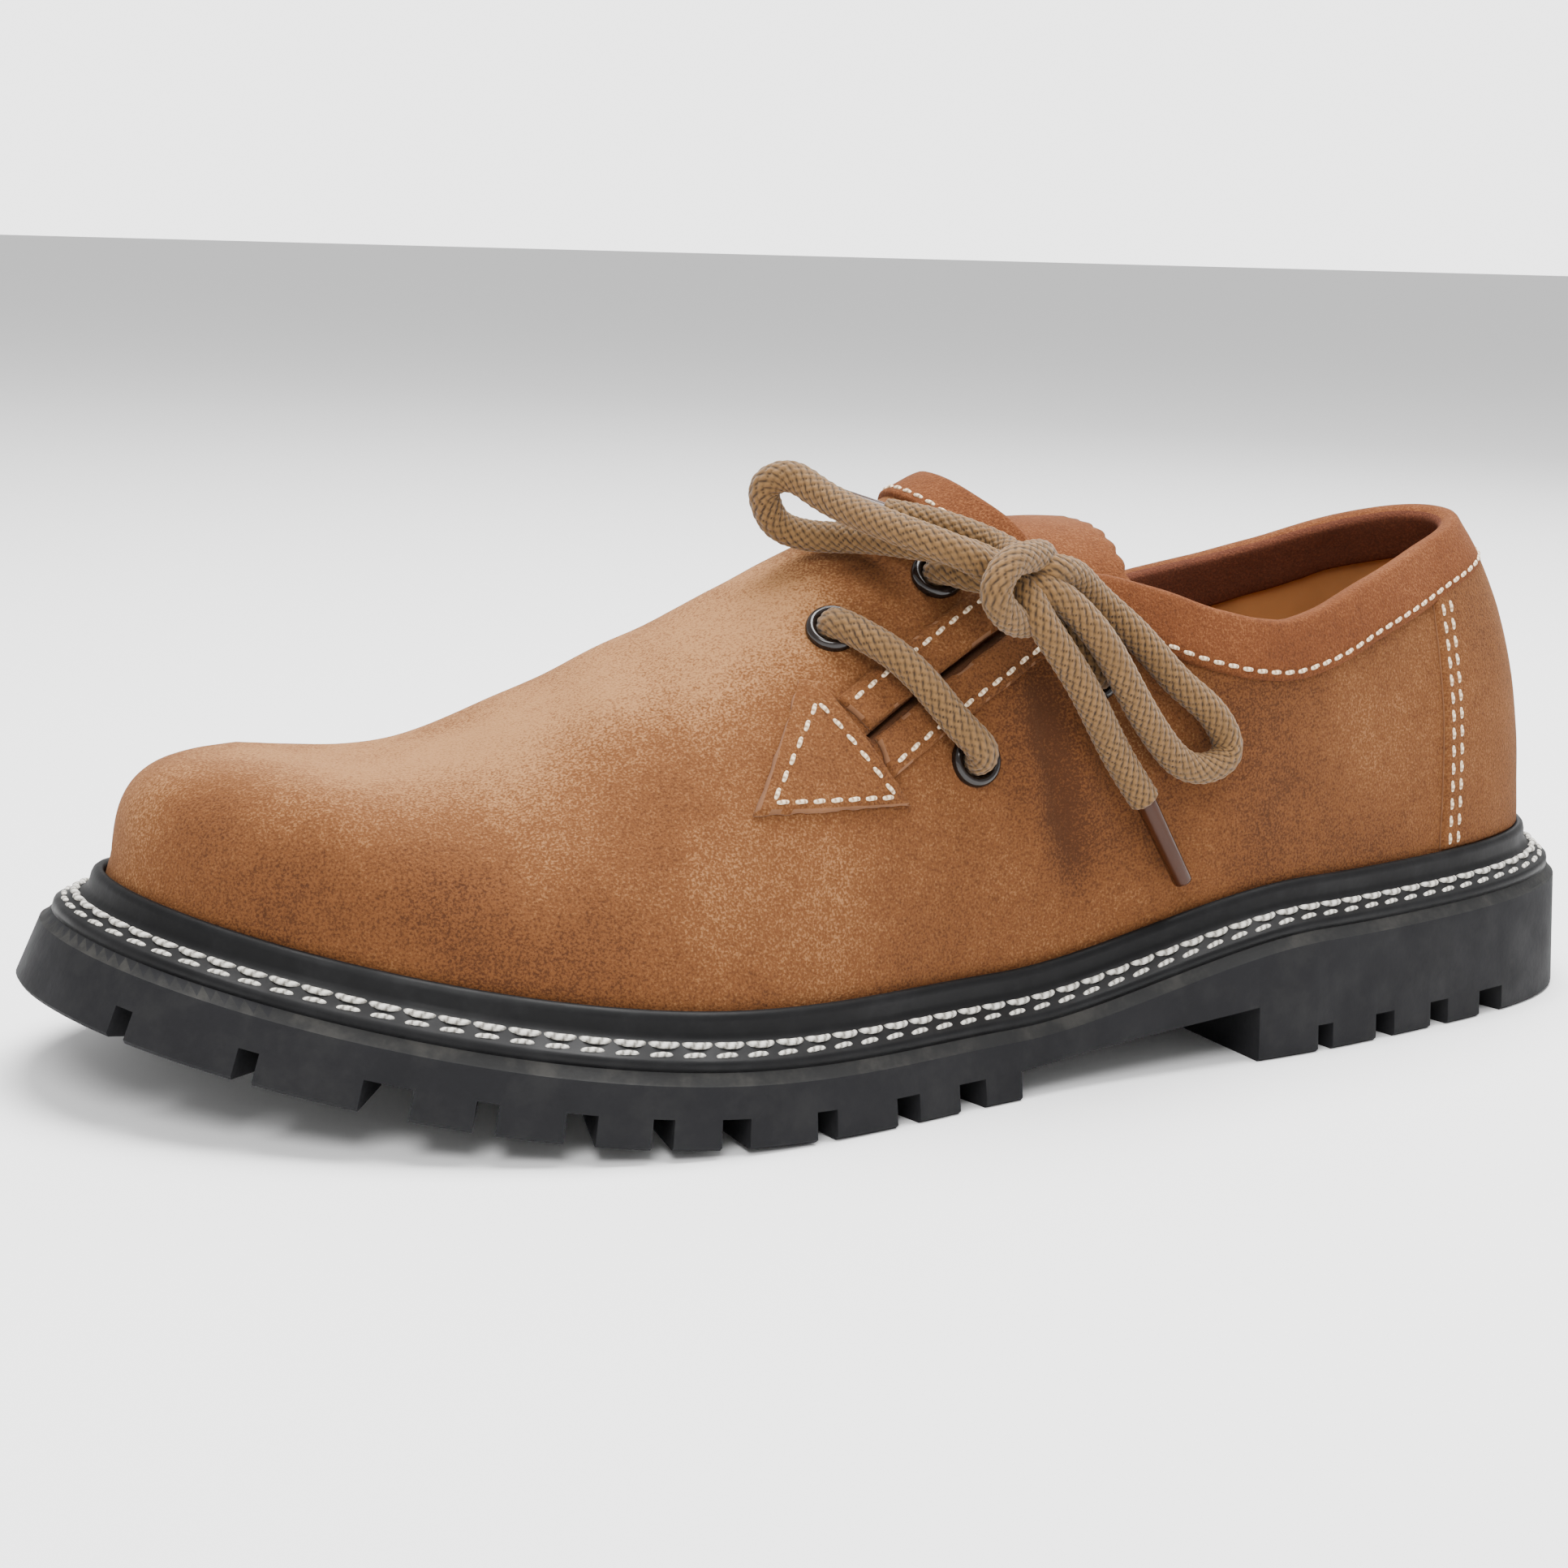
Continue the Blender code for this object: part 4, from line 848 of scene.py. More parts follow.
def corner_patch():
    """Triangle at the foot of the slit and its three rows of stitches."""
    corners = [np.array([float(along_x(a)), h * INSTEP_HEIGHT]) for a, h in PATCH]
    middle = sum(corners) / 3
    apex, left, right = [middle + (c - middle) * 1.10 for c in corners]
    obj = offset_piece("slit_patch_suede", patch_grid([apex - [1.8 * MM, 0], apex + [1.2 * MM, 0], right, left], 30, 30, 0.6 * MM), -0.2 * MM, 1.3 * MM,
                       LOOKS["suede"])
    inner = [c + (middle - c) / np.linalg.norm(middle - c) * 2.2 * MM for c in corners]
    rows = [side_row(np.array([inner[i], inner[(i + 1) % 3]]), 1.3 * MM) for i in range(3)]
    return obj, rows


def edge_line(side, first, last, count):
    """Dense top line of one side between two stations."""
    stations = np.linspace(first, last, count)
    return upper_point(side, stations, top_rises(side, stations))


def band(name, line, leg, looks):
    """Suede folded over an edge of the upper; returns it and its stitch row."""
    line = evenly(smooth_line(evenly(line, 4 * MM), len(line) * 2), 1.3 * MM)
    tangent = np.gradient(line, axis=0)
    tangent /= np.linalg.norm(tangent, axis=1)[:, None]
    outs = np.array([on_leather(p)[1] for p in line])
    for _ in range(3):
        outs[1:-1] = (outs[:-2] + outs[1:-1] * 2 + outs[2:]) / 4
    outs -= tangent * (outs * tangent).sum(1)[:, None]
    outs /= np.linalg.norm(outs, axis=1)[:, None]
    down = np.cross(tangent, outs)
    toward = np.array([on_leather(p + d * 3 * MM)[0] - on_leather(p - d * 3 * MM)[0] for p, d in zip(line, down)])
    if (toward * down).sum() < 0 or down[len(down) // 2][2] > 0:
        down = -down
    skin = 1.15 * MM
    rings, row, row_normals = [], [], []
    for p, n, d in zip(line, outs, down):
        legs = [on_leather(p + d * leg * f) for f in (1.0, 0.94, 0.7, 0.45, 0.2)]
        ring = [legs[0][0] + legs[0][1] * 0.05 * MM, legs[0][0] + legs[0][1] * 0.75 * MM]
        ring += [q + m * skin for q, m in legs[1:]]
        middle = p - n * LEATHER / 2
        half = LEATHER / 2 + skin
        for turn in np.linspace(0, math.pi, 11):
            ring.append(middle + n * math.cos(turn) * half - d * math.sin(turn) ** 0.8 * 1.5 * MM)
        ring += [q - m * (LEATHER + skin) for q, m in legs[:0:-1]]
        ring += [legs[0][0] - legs[0][1] * (LEATHER + 0.9 * MM), legs[0][0] - legs[0][1] * (LEATHER + 0.1 * MM)]
        rings.append(ring)
        q, m = on_leather(p + d * (leg - 1.5 * MM))
        row.append(q + m * skin)
        row_normals.append(m)
    verts, faces = loft(rings)
    section = len(rings[0])
    inside = np.tile(np.arange(section) > section // 2, len(rings))
    obj = mesh_object(name, verts, faces, looks, values={"inside": inside})
    marks = obj.data.attributes["inside"].data
    # Faces inside the fold take the suede painted darker as shade.
    for poly in obj.data.polygons:
        poly.material_index = int(all(marks[i].value > 0.5 for i in poly.vertices))
    return obj, (np.array(row), np.array(row_normals))


def thread_row(name, rows, pitch, length, radius, look, bulge=0.0, slant=0.0, sink=0.15):
    """Stitches along rows of places and normals: short bowed threads that dip in at both ends."""
    verts, faces, twist = [], [], []
    rings, around = (13, 8) if radius > 0.45 * MM else (7, 8)
    for places, normals in rows:
        t = run_along(places)
        count = max(int(t[-1] / pitch), 1)
        at = (np.arange(count) + 0.5) * t[-1] / count
        spots = np.stack([np.interp(at, t, places[:, k]) for k in range(3)], 1)
        ups = np.stack([np.interp(at, t, normals[:, k]) for k in range(3)], 1)
        ahead = np.stack([np.interp(np.minimum(at + pitch / 3, t[-1]), t, places[:, k]) for k in range(3)], 1)
        back = np.stack([np.interp(np.maximum(at - pitch / 3, 0), t, places[:, k]) for k in range(3)], 1)
        for i in range(count):
            up = ups[i] / np.linalg.norm(ups[i])
            run = ahead[i] - back[i]
            run -= up * (run @ up)
            run /= np.linalg.norm(run)
            across = np.cross(up, run)
            run = run * math.cos(slant) + across * math.sin(slant)
            across = np.cross(up, run)
            start = len(verts)
            for r, u in enumerate(np.linspace(-1, 1, rings)):
                swell = radius * (1 - 0.25 * u * u - 0.25 * u**4)
                lift = radius * 0.55 * (1 - u * u) - sink * MM - radius * 0.9 * abs(u) ** 5
                middle = spots[i] + run * u * length / 2 + across * bulge * (1 - u * u) + up * lift
                for a in np.arange(around) / around * 2 * math.pi:
                    verts.append(middle + (across * math.cos(a) + up * math.sin(a) * 0.85) * swell)
                    twist.append(0.5 + 0.5 * math.sin(a + u * length / radius * 1.1))
            faces += grid_faces(rings, around, start=start, closed=True)
            faces.append(tuple(range(start, start + around)))
            faces.append(tuple(range(start + (rings - 1) * around, start + rings * around))[::-1])
    return mesh_object(name, verts, faces, look, weld=0, values={"twist": twist})


def counter():
    """Suede counter around the heel, with a double row of stitches along each front edge."""
    last = float(station_at(along_x(HEEL_CENTRE + 0.0005)))
    half = np.linspace(0, last, 60)
    places, normals = [], []
    stations = [(1, s) for s in half[::-1]] + [(-1, s) for s in half[1:]]
    tops = {side: dict(zip(half, top_rises(side, half))) for side in (-1, 1)}
    fine = np.linspace(0, 1, 201)
    for side, s in stations:
        p = upper_point(side, np.full(201, s), fine)
        low = float(np.interp(p[0, 2] + LIP_TOP - 1.0 * MM, p[:, 2], fine))
        run = run_along(p)
        high = float(np.interp(np.interp(tops[side][s], fine, run) - 7.5 * MM, run, fine))
        spots = [on_leather(q) for q in upper_point(side, np.full(30, s), low + (high - low) * shares_with_edge(0.04, 28))]
        places.append([q for q, _ in spots])
        normals.append([n for _, n in spots])
    places, normals = np.array(places), np.array(normals)
    obj = offset_piece("heel_counter_suede", (places, normals), -0.15 * MM, 0.95 * MM, LOOKS["suede"])
    rows = []
    for back in (2.0 * MM, 4.6 * MM):
        for end in (0, -1):
            inward = places[1 if end == 0 else -2] - places[end]
            inward /= np.linalg.norm(inward, axis=1)[:, None]
            found = [on_leather(p + i * back) for p, i in zip(places[end], inward)]
            rows.append((np.array([p + n * 0.95 * MM for p, n in found])[1:-3], np.array([n for _, n in found])[1:-3]))
    return obj, rows


# Tongue, insole, welt and sole

def tongue_ridge(x):
    """Height of the tongue's middle: under the vamp, then straight back over the throat."""
    throat = float(along_x(0.50))
    tip = float(along_x(TONGUE_TIP))
    over = ridge(np.minimum(x, throat))[0] - TONGUE_DROP
    back = np.clip((x - throat) / (tip - throat), 0, 1)
    return over + (TONGUE_TIP_HEIGHT - over) * back**1.4 + 1.0 * MM * np.sin(back * math.pi)


def tongue_point(x, across):
    """Point of the tongue's outer face: across runs from -1 on the outer side to 1 on the inner side."""
    side = -1 if across < 0 else 1
    end = float(read_loop(EDGE, edge_index(side, np.array([station_at(x)])))[0, 1])
    _, crown, wall, spine = ridge(x)
    back = float(np.clip((x - along_x(0.50)) / (along_x(TONGUE_TIP) - along_x(0.50)), 0, 1))
    crown, wall = crown + 0.7 * back, wall + 0.3 * back
    low = sole_top(x) + TOE_LIFT * spring_share(x) ** SPRING_POWER
    angle = (1 - abs(across)) * math.pi / 2
    z = low + (tongue_ridge(x) - low) * math.sin(angle) ** (2 / wall)
    return np.array([x, spine + side * (abs(end - spine) - TONGUE_DROP) * math.cos(angle) ** (2 / crown), float(z)])


def tongue():
    """Tongue with a pinked free edge."""
    across = np.concatenate([np.linspace(-0.66, 0, 70), np.linspace(0, 0.5, 54)[1:]])
    xs = np.concatenate([along_x(np.linspace(0.60, 0.50, 14)), along_x(np.linspace(0.494, TONGUE_TIP, 26))])
    rows = np.array([[tongue_point(float(x), float(a)) for a in across] for x in xs])
    run = run_along(rows[-1])
    teeth = 0.8 * MM * np.abs(np.sin(run / (4.5 * MM) * math.pi)) - 0.3 * MM
    rows[-1, :, 0] += teeth
    rows[-2, :, 0] += teeth * 0.5
    slow = np.array([[noise.noise(Vector(p) * 60) for p in line] for line in rows])
    rows[..., 2] += 0.5 * MM * slow
    verts, faces = rows.reshape(-1, 3), grid_faces(*rows.shape[:2])
    obj = mesh_object("tongue_suede", verts, faces, [LOOKS["tongue"], LOOKS["lining"], LOOKS["raw"]],
                      values={"nap_and_shade_tone": np.full(len(verts), 0.55)})
    if sum(p.normal.z for p in obj.data.polygons) < 0:
        obj.data.flip_normals()
    mod = obj.modifiers.new("leather", "SOLIDIFY")
    mod.thickness = TONGUE
    mod.offset = -1
    mod.use_even_offset = True
    mod.material_offset = 1
    mod.material_offset_rim = 2
    return obj


def insole():
    loops = []
    for inset, height in ((4.4, 0.0), (3.0, 0.3), (3.0, INSOLE / MM - 0.4), (3.4, INSOLE / MM)):
        loop = grown(feather_line(240), -inset * MM)
        loops.append(sprung(np.stack([loop[:, 0], loop[:, 1], sole_top(loop[:, 0]) + CLEARANCE + height * MM], 1)))
    verts, faces = loft(loops, caps=False)
    for first in (0, 3 * 240):
        faces.append((first, first + 1, first + 239))
        faces += [(first + i, first + i + 1, first + 239 - i, first + 240 - i) for i in range(1, 119)]
        faces.append((first + 119, first + 120, first + 121))
    return mesh_object("insole_leather_board", verts, faces, LOOKS["lining"])


def welt():
    """Rubber welt with a rounded lip, a stitched ledge and a soft outer edge."""
    lip = CLEARANCE + LIP_WIDTH
    section = [
        (CLEARANCE, CLEARANCE), (CLEARANCE, LIP_TOP - 0.9 * MM), (CLEARANCE + 0.25 * MM, LIP_TOP - 0.25 * MM),
        (CLEARANCE + 0.8 * MM, LIP_TOP), (CLEARANCE + 1.4 * MM, LIP_TOP - 0.15 * MM), (lip - 0.2 * MM, LIP_TOP - 0.7 * MM),
        (lip, LIP_TOP - 1.5 * MM), (lip + 0.05 * MM, LEDGE_TOP + 0.8 * MM), (lip + 0.35 * MM, LEDGE_TOP + 0.1 * MM),
        (lip + 0.9 * MM, LEDGE_TOP - 0.5 * MM), (lip + 1.8 * MM, LEDGE_TOP - 0.95 * MM),
        (RIM_REACH - 1.6 * MM, LEDGE_EDGE + 0.75 * MM), (RIM_REACH - 0.5 * MM, LEDGE_EDGE + 0.2 * MM),
        (RIM_REACH - 0.1 * MM, LEDGE_EDGE - 0.15 * MM), (RIM_REACH, LEDGE_EDGE - 0.6 * MM), (RIM_REACH, 0.0),
    ]
    loops = []
    for reach, height in section:
        loop = grown(FEATHER, reach)[::2]
        loops.append(sprung(np.stack([loop[:, 0], loop[:, 1], sole_top(loop[:, 0]) + height], 1)))
    loops.append(loops[0])
    verts, faces = loft(loops, caps=False)
    return mesh_object("welt_rubber_strip", verts, faces, LOOKS["welt"])


def welt_row(reach, height):
    """Places and normals of a stitch row on the welt's ledge."""
    loops = []
    for r, h in ((reach, height), (reach + 0.5 * MM, height - 0.24 * MM)):
        loop = grown(FEATHER, r)
        loops.append(sprung(np.stack([loop[:, 0], loop[:, 1], sole_top(loop[:, 0]) + h], 1)))
    places = np.concatenate([loops[0], loops[0][:1]])
    slope = np.concatenate([loops[1], loops[1][:1]]) - places
    normals = np.cross(np.gradient(places, axis=0), slope)
    normals /= np.linalg.norm(normals, axis=1)[:, None]
    normals *= np.sign(normals[:, 2])[:, None]
    return places, normals


def outsole():
    """Lug sole: wall with its band, waist, recesses with middle lugs, side grooves, then the toe spring."""
    count = 288
    rings = sole_rings(count)
    verts, faces = loft(rings, caps=False)
    for first in (0, 4 * count):
        faces.append((first, first + 1, first + count - 1))
        faces += [(first + i, first + i + 1, first + count - 1 - i, first + count - i) for i in range(1, count // 2 - 1)]
        faces.append((first + count // 2 - 1, first + count // 2, first + count // 2 + 1))
    obj = mesh_object("outsole_rubber", verts, faces, [LOOKS["sole"], LOOKS["sole_band"]], smooth=False)
    breast, end = float(along_x(BREAST_AT)), float(along_x(TREAD_END))
    below = -5 * MM
    tools = [prism("waist_cut", [(end, below), (breast, below), (breast, BREAST_HEIGHT), (end, LUG_DEPTH)],
                   -2 * BALL_WIDTH, 2 * BALL_WIDTH)]
    inner = grown(feather_line(64), TREAD_REACH - LUG_REACH)
    for name, part, held in (
        ("fore_recess", [r for r in MIDDLE_LUGS if r[0] > TREAD_END], inner[:, 0] < end + 1 * MM),
        ("heel_recess", [r for r in MIDDLE_LUGS if r[0] < BREAST_AT], inner[:, 0] > breast + 12 * MM),
    ):
        first = int(np.nonzero(held & ~np.roll(held, 1))[0][0])
        edge = np.roll(inner, -first, 0)[np.roll(held, -first)]
        recess = upright(name, edge, below, LUG_DEPTH)
        lugs = []
        for i, (share, half, length) in enumerate(part):
            x, w, c = float(along_x(share)), half * BALL_WIDTH, length / 2
            y, tip = float(ridge(x)[3]), length * 0.25
            shape = [(x - c - tip, y), (x - c, y + w), (x + c, y + w), (x + c - tip, y), (x + c, y - w), (x - c, y - w)]
            lugs.append(upright(f"{name}_lug_{i}", shape, 2 * below, 2 * LUG_DEPTH))
        cut(recess, lugs)
        tools.append(recess)
    outer = grown(feather_line(720), TREAD_REACH)
    places = [(TOE_GROOVE, 3.5 * MM)]
    for side in (-1, 1):
        half = np.nonzero(outer[:, 1] * side > 0)[0]
        places += [(half[np.argmin(np.abs(outer[half, 0] - along_x(share)))], width) for share, width in GROOVES]
    for k, width in places:
        step = outer[(k + 1) % 720] - outer[k - 1]
        out = np.array([step[1], -step[0]]) / np.linalg.norm(step)
        out = out if out @ (outer[k] - outer.mean(0)) > 0 else -out
        along = np.array([-out[1], out[0]]) * width / 2
        far, near = outer[k] + out * 6 * MM, outer[k] - out * (LUG_REACH + 2 * MM)
        if k == TOE_GROOVE:
            near = outer[k] - out * 9 * MM
        tools.append(upright("groove", [far - along, far + along, near + along, near - along], below, LUG_DEPTH))
    cut(obj, tools)
    bm = bmesh.new()
    bm.from_mesh(obj.data)
    bmesh.ops.remove_doubles(bm, verts=bm.verts, dist=2e-5)
    sharp = [e for e in bm.edges if len(e.link_faces) == 2 and e.calc_face_angle() > math.radians(50)]
    bmesh.ops.bevel(bm, geom=sharp, offset=0.35 * MM, segments=2, profile=0.5, affect="EDGES", clamp_overlap=True)
    bmesh.ops.triangulate(bm, faces=bm.faces)
    for v in bm.verts:
        v.co = Vector(sprung(np.array(v.co) + ORIGIN) - ORIGIN)
    for f in bm.faces:
        c = f.calc_center_median()
        wall = float(sprung(np.array([c.x + ORIGIN[0], 0, sole_top(c.x + ORIGIN[0])]))[2])
        f.material_index = 1 if wall - BAND_DEPTH - 0.3 * MM < c.z < wall and abs(f.normal.z) < 0.95 else 0
    bm.to_mesh(obj.data)
    bm.free()
    obj.data.shade_smooth()
    obj.data.set_sharp_from_angle(angle=math.radians(32))
    return obj


def upright(name, outline, low, high):
    """Cutter from an outline in plan, between two heights."""
    n = len(outline)
    verts = [(x, y, low) for x, y in outline] + [(x, y, high) for x, y in outline]
    faces = [(i, (i + 1) % n, n + (i + 1) % n, n + i) for i in range(n)] + [tuple(range(n))[::-1], tuple(range(n, 2 * n))]
    return mesh_object(name, verts, faces, [], smooth=False, weld=0)


# Eyelets and lace

def eyelet_frame(name):
    share, level = EYELETS[name]
    return outer_side(float(along_x(share)), level * INSTEP_HEIGHT)


def eyelet(name):
    """Lacquered ring, turned from a rounded section."""
    outer, bore = EYELET / 2, EYELET_BORE / 2
    section = [(outer, -0.3 * MM), (outer, 0.15 * MM), (outer - 0.15 * MM, 0.7 * MM), (outer - 0.6 * MM, 1.2 * MM),
               (outer - 1.15 * MM, 1.35 * MM), (bore + 0.25 * MM, 0.95 * MM), (bore, 0.3 * MM), (bore, -LEATHER),
               (bore + 0.5 * MM, -LEATHER), (bore + 0.5 * MM, -0.3 * MM)]
    place, normal = eyelet_frame(name)
    turn = np.array(Vector(normal).to_track_quat("Z", "Y").to_matrix())
    rings = [[place + turn @ np.array([r * math.cos(t), r * math.sin(t), z + 0.35 * MM]) for r, z in section]
             for t in np.arange(56) / 56 * 2 * math.pi]
    verts, faces = loft(rings + [rings[0]], caps=False)
    obj = mesh_object(name + "_ring", verts, faces, LOOKS["metal"])
    return obj


def cord(name, points, thin_start=0.0, thin_end=0.0):
    """Round braided cord along a smooth line through the points; the thin lengths pass an eyelet."""
    line = smooth_line(points, 900)
    line = evenly(line, 0.34 * MM)
    run = run_along(line)
    tangent = np.gradient(line, axis=0)
    tangent /= np.linalg.norm(tangent, axis=1)[:, None]
    side = np.cross(tangent[0], [0.3, 0.2, 0.93])
    around = 44
    verts, weave = [], []
    turns, pitch = 11, 2.0 * MM
    angle = np.arange(around) / around
    for i, (p, t) in enumerate(zip(line, tangent)):
        side = side - t * (side @ t)
        side /= np.linalg.norm(side)
        other = np.cross(t, side)
        a, b = turns * angle + run[i] / pitch, turns * angle - run[i] / pitch
        fa, fb = np.sin(math.pi * (a % 1)), np.sin(math.pi * (b % 1))
        even = (np.floor(a) + np.floor(b)) % 2 < 1
        yarn = np.where(even, fa ** 0.7 * (0.55 + 0.45 * fb), fb ** 0.7 * (0.55 + 0.45 * fa))
        thin = 1 - 0.16 * np.clip(1 - run[i] / max(thin_start, 1e-9), 0, 1) - 0.16 * np.clip(
            1 - (run[-1] - run[i]) / max(thin_end, 1e-9), 0, 1)
        radius = (LACE / 2 - 0.22 * MM) * thin + 0.30 * MM * yarn
        ring = p + (np.cos(angle * 2 * math.pi) * radius)[:, None] * side + (
            np.sin(angle * 2 * math.pi) * radius)[:, None] * other
        verts.append(ring)
        weave.append(yarn)
    points, faces = loft(verts)
    obj = mesh_object(name, points, faces, LOOKS["lace"], weld=0, values={"weave": np.concatenate(weave)})
    return obj, line


def aglet(name, tip, run):
    """Clear wrapped tip at a cord's end, a little narrower than the cord."""
    rings = []
    side = np.cross(run, [0.2, 0.1, 0.97])
    side /= np.linalg.norm(side)
    other = np.cross(run, side)
    for at, r in ((-1.0, 1.55), (-0.8, 1.95), (0.3, 2.0), (8, 1.9), (16.8, 1.85), (17.3, 1.7), (17.5, 1.2)):
        angle = np.arange(28) / 28 * 2 * math.pi
        rings.append(tip + run * at * MM + (np.cos(angle) * r * MM)[:, None] * side
                     + (np.sin(angle) * r * 0.92 * MM)[:, None] * other)
    verts, faces = loft(rings)
    return mesh_object(name, verts, faces, LOOKS["tip"])


def hole(name, lift):
    place, normal = eyelet_frame(name)
    return tuple((place + normal * lift * MM) / MM)


def laces():
    """Lower crossing and the two cords that tie the bow, each through its eyelet and out to its tip."""
    crossing = [hole("eyelet_front_low", -1.8), hole("eyelet_front_low", 1.6), (-20.6, -29.2, 77.4), (-16.2, -34.2, 74.2),
                (-11.1, -38.2, 68.5), (-5.9, -41.0, 62.0), (-2.6, -41.4, 58.4), hole("eyelet_rear_low", 1.2),
                hole("eyelet_rear_low", -1.8)]
    front = [hole("eyelet_front_high", -1.8), hole("eyelet_front_high", 1.8), (1.6, -31.6, 86.6), (5.7, -34.4, 87.0),
             (9.8, -35.6, 85.4), (9.6, -38.2, 81.8), (5.0, -41.0, 80.2), (-0.9, -44.0, 82.2), (-3.8, -45.3, 86.3), (-1.8, -44.8, 90.0),
             (4.4, -42.0, 91.4), (9.0, -38.6, 90.6), (9.6, -35.4, 87.6), (5.0, -36.0, 86.8), (-0.9, -39.0, 88.8), (-5.1, -38.6, 91.0),
             (-11.5, -34.0, 93.8), (-17.4, -24.0, 96.5), (-22.4, -14.0, 100.2), (-25.6, -10.0, 102.0),
             (-28.2, -7.5, 100.1), (-27.5, -6.5, 96.7), (-25.2, -6.5, 93.4), (-21.7, -8.0, 91.8), (-15.7, -13.0, 91.6),
             (-11.6, -20.0, 92.0), (-7.6, -27.0, 91.8), (-2.7, -32.6, 91.0), (2.0, -37.0, 88.6), (4.2, -41.2, 85.6),
             (5.6, -43.8, 81.6), (8.8, -44.5, 77.0), (14.9, -44.8, 68.9), (23.2, -43.6, 56.9), (29.8, -43.6, 48.2)]
    rear = [hole("eyelet_rear_high", -1.8), hole("eyelet_rear_high", 1.8), (20.0, -38.4, 73.2), (15.6, -38.2, 76.6),
            (10.2, -37.6, 80.2), (6.2, -37.2, 83.6), (5.6, -39.8, 86.2), (8.4, -42.2, 85.6), (12.6, -43.4, 82.8), (17.2, -44.4, 78.2),
            (24.0, -44.6, 69.0), (32.6, -43.4, 58.5), (41.6, -42.8, 53.1), (47.6, -42.1, 55.5), (46.0, -41.2, 61.0),
            (39.0, -39.8, 67.4), (29.3, -38.4, 76.7), (20.0, -37.8, 84.2), (14.2, -39.8, 88.0), (8.6, -40.8, 89.2),
            (6.6, -37.0, 89.8), (6.3, -31.5, 90.9), (1.7, -25.0, 93.4), (-3.0, -19.0, 94.9), (-8.1, -14.0, 95.7)]
    made = []
    for name, route, nodes, far in (
        ("lace_crossing", crossing, ["lace_bar"], "object"),
        ("lace_front_cord", front, ["lace_strand_front", "lace_loop_front", "lace_end_rear", "lace_knot"], "bare"),
        ("lace_rear_cord", rear, ["lace_strand_rear", "lace_loop_rear", "lace_end_front"], "bare"),
    ):
        obj, line = cord(name, np.array(route) * MM, 4 * MM, 4 * MM if far == "object" else 0.0)
        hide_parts(*nodes)
        tips = []
        if far == "bare":
            run = line[-1] - line[-8]
            run /= np.linalg.norm(run)
            if name == "lace_front_cord":
                run = np.array([40.2, -44.6, 30.0]) * MM - line[-1]
            else:
                run = np.array([-0.62, 0.74, 0.24])
            run /= np.linalg.norm(run)
            tip = aglet(name + "_tip", line[-1], run)
            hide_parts("lace_tip_rear" if name == "lace_front_cord" else "lace_tip_front")
            tips.append(tip)
        made += [obj] + tips
    return made


# Stage

def stage():
    bpy.ops.mesh.primitive_plane_add(size=12)
    floor = bpy.context.object
    floor.name = "floor"
    g = Graph("floor_white")
    g.set(Base_Color=(0.9, 0.9, 0.9, 1), Roughness=0.9)
    floor.data.materials.append(g.material)
    world = bpy.context.scene.world or bpy.data.worlds.new("studio")
    bpy.context.scene.world = world
    world.use_nodes = True
    world.node_tree.nodes["Background"].inputs["Color"].default_value = (1, 1, 1, 1)
    sky = world.node_tree
    glow = sky.nodes.new("ShaderNodeMapRange")
    level = sky.nodes.new("ShaderNodeSeparateXYZ")
    sky.links.new(sky.nodes.new("ShaderNodeTexCoord").outputs["Generated"], level.inputs["Vector"])
    sky.links.new(level.outputs["Z"], glow.inputs["Value"])
    for key, value in (("From Min", 0.07), ("From Max", 0.16), ("To Min", 3.4), ("To Max", 0.85)):
        glow.inputs[key].default_value = value
    sky.links.new(glow.outputs["Result"], sky.nodes["Background"].inputs["Strength"])
    for name, place, size, power in (
        ("key", (-0.55, -0.75, 0.95), 0.6, 13.0), ("top", (0.15, 0.1, 1.1), 0.9, 38.0), ("rear", (0.8, 0.6, 0.7), 0.6, 5.0),
    ):
        lamp = bpy.data.lights.new(name, "AREA")
        lamp.shape = "DISK"
        lamp.size = size
        lamp.energy = power
        obj = bpy.data.objects.new(name, lamp)
        bpy.context.scene.collection.objects.link(obj)
        obj.location = place
        obj.rotation_euler = (Vector((0, 0, 0.04)) - Vector(place)).to_track_quat("-Z", "Y").to_euler()


def camera():
    """Camera at the photograph's angle: yaw, elevation, distance, roll and target measured on the shoe."""
    yaw, tilt, roll = math.radians(27.589), math.radians(11.3868), math.radians(-2.1427)
    distance, focal, frame_px = 0.52872, 3616.5, 1932
    target = Vector((-0.0186, 0, 0.0455)) - Vector(ORIGIN)
    back = Vector((-math.sin(yaw) * math.cos(tilt), -math.cos(yaw) * math.cos(tilt), math.sin(tilt)))
    right = Vector((math.cos(yaw), -math.sin(yaw), 0))
    up = right.cross(-back)
    rolled_right = right * math.cos(roll) - up * math.sin(roll)
    rolled_up = right * math.sin(roll) + up * math.cos(roll)
    data = bpy.data.cameras.new("camera")
    data.sensor_width = 36
    data.lens = 36 * focal / frame_px
    obj = bpy.data.objects.new("camera", data)
    bpy.context.scene.collection.objects.link(obj)
    turn = Matrix((rolled_right, rolled_up, back)).transposed().to_4x4()
    obj.matrix_world = Matrix.Translation(target + back * distance) @ turn
    bpy.context.scene.camera = obj


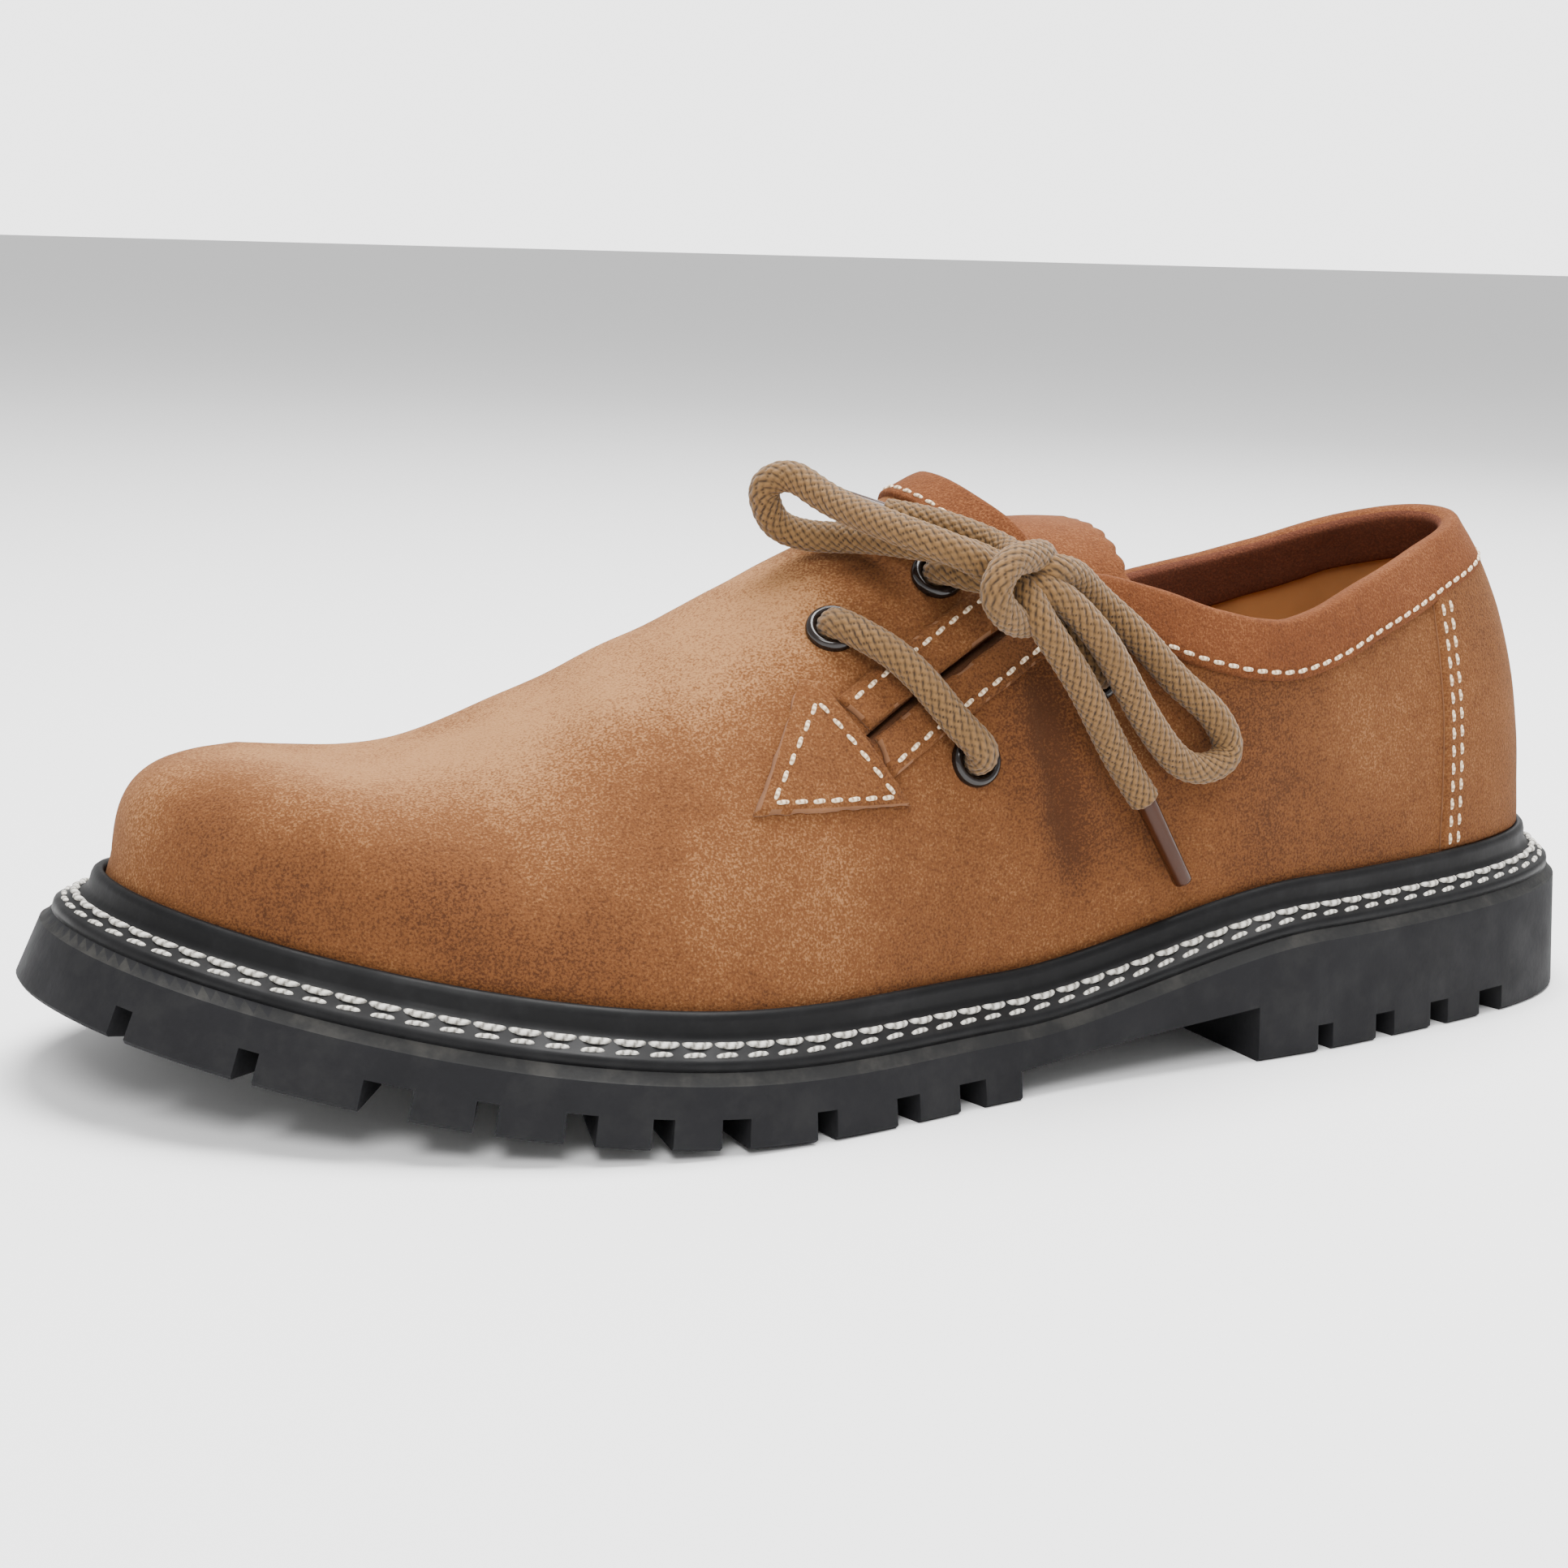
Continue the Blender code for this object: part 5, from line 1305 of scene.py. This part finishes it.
def main():
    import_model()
    camera()
    pieces = laces()
    shell = upper()
    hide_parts("upper")
    heel, heel_rows = counter()
    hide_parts("heel_counter")
    strip_front, front_row = slit_strip("slit_strip_front_suede", True)
    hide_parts("slit_strip_front")
    strip_rear, rear_row = slit_strip("slit_strip_rear_suede", False)
    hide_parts("slit_strip_rear")
    patch, patch_rows = corner_patch()
    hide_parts("slit_patch")
    mouth, throat = float(station_at(along_x(0.421))), float(station_at(along_x(0.445)))
    collar_line = np.concatenate([edge_line(-1, mouth, 0, 200), edge_line(1, 0.01, throat, 200)])
    collar, collar_row = band("collar_band_suede", collar_line, 9.8 * MM, [LOOKS["band"], LOOKS["band_shaded_inside"]])
    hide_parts("collar_band")
    peak = float(station_at(along_x(0.4775)))
    vamp_line = np.concatenate([edge_line(1, float(station_at(along_x(0.452))), peak, 60),
                                edge_line(-1, peak, float(station_at(along_x(0.443))), 60)])
    vamp, vamp_row = band("vamp_band_suede", vamp_line, 7.4 * MM, [LOOKS["band"], LOOKS["band_shaded_inside"]])
    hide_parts("vamp_band")
    seams = thread_row("seam_stitches", heel_rows + [front_row, rear_row] + patch_rows + [collar_row, vamp_row],
                       3.2 * MM, 2.85 * MM, 0.40 * MM, LOOKS["thread"], slant=0.08)
    lip = CLEARANCE + LIP_WIDTH
    inner_row = thread_row("welt_stitches_inner", [welt_row(lip + 1.1 * MM, LEDGE_TOP - 0.55 * MM)], 5.5 * MM, 5.9 * MM,
                           0.62 * MM, LOOKS["welt_thread"], bulge=1.0 * MM)
    outer_row = thread_row("welt_stitches_outer", [welt_row(RIM_REACH - 1.5 * MM, LEDGE_EDGE + 0.65 * MM)], 5.5 * MM,
                           4.7 * MM, 0.48 * MM, LOOKS["welt_thread"], slant=0.10)
    flap, board, strip, sole = tongue(), insole(), welt(), outsole()
    for piece, node in ((flap, "tongue"), (board, "insole"), (strip, "welt"), (sole, "outsole")):
        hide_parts(node)
    pieces += [shell, heel, strip_front, strip_rear, patch, collar, vamp, seams, inner_row, outer_row, flap, board, strip,
               sole]
    for name in EYELETS:
        ring = eyelet(name)
        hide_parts(name)
        pieces.append(ring)
    for piece in pieces:
        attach(piece, "root")
    stage()
    bpy.context.view_layer.update()


main()
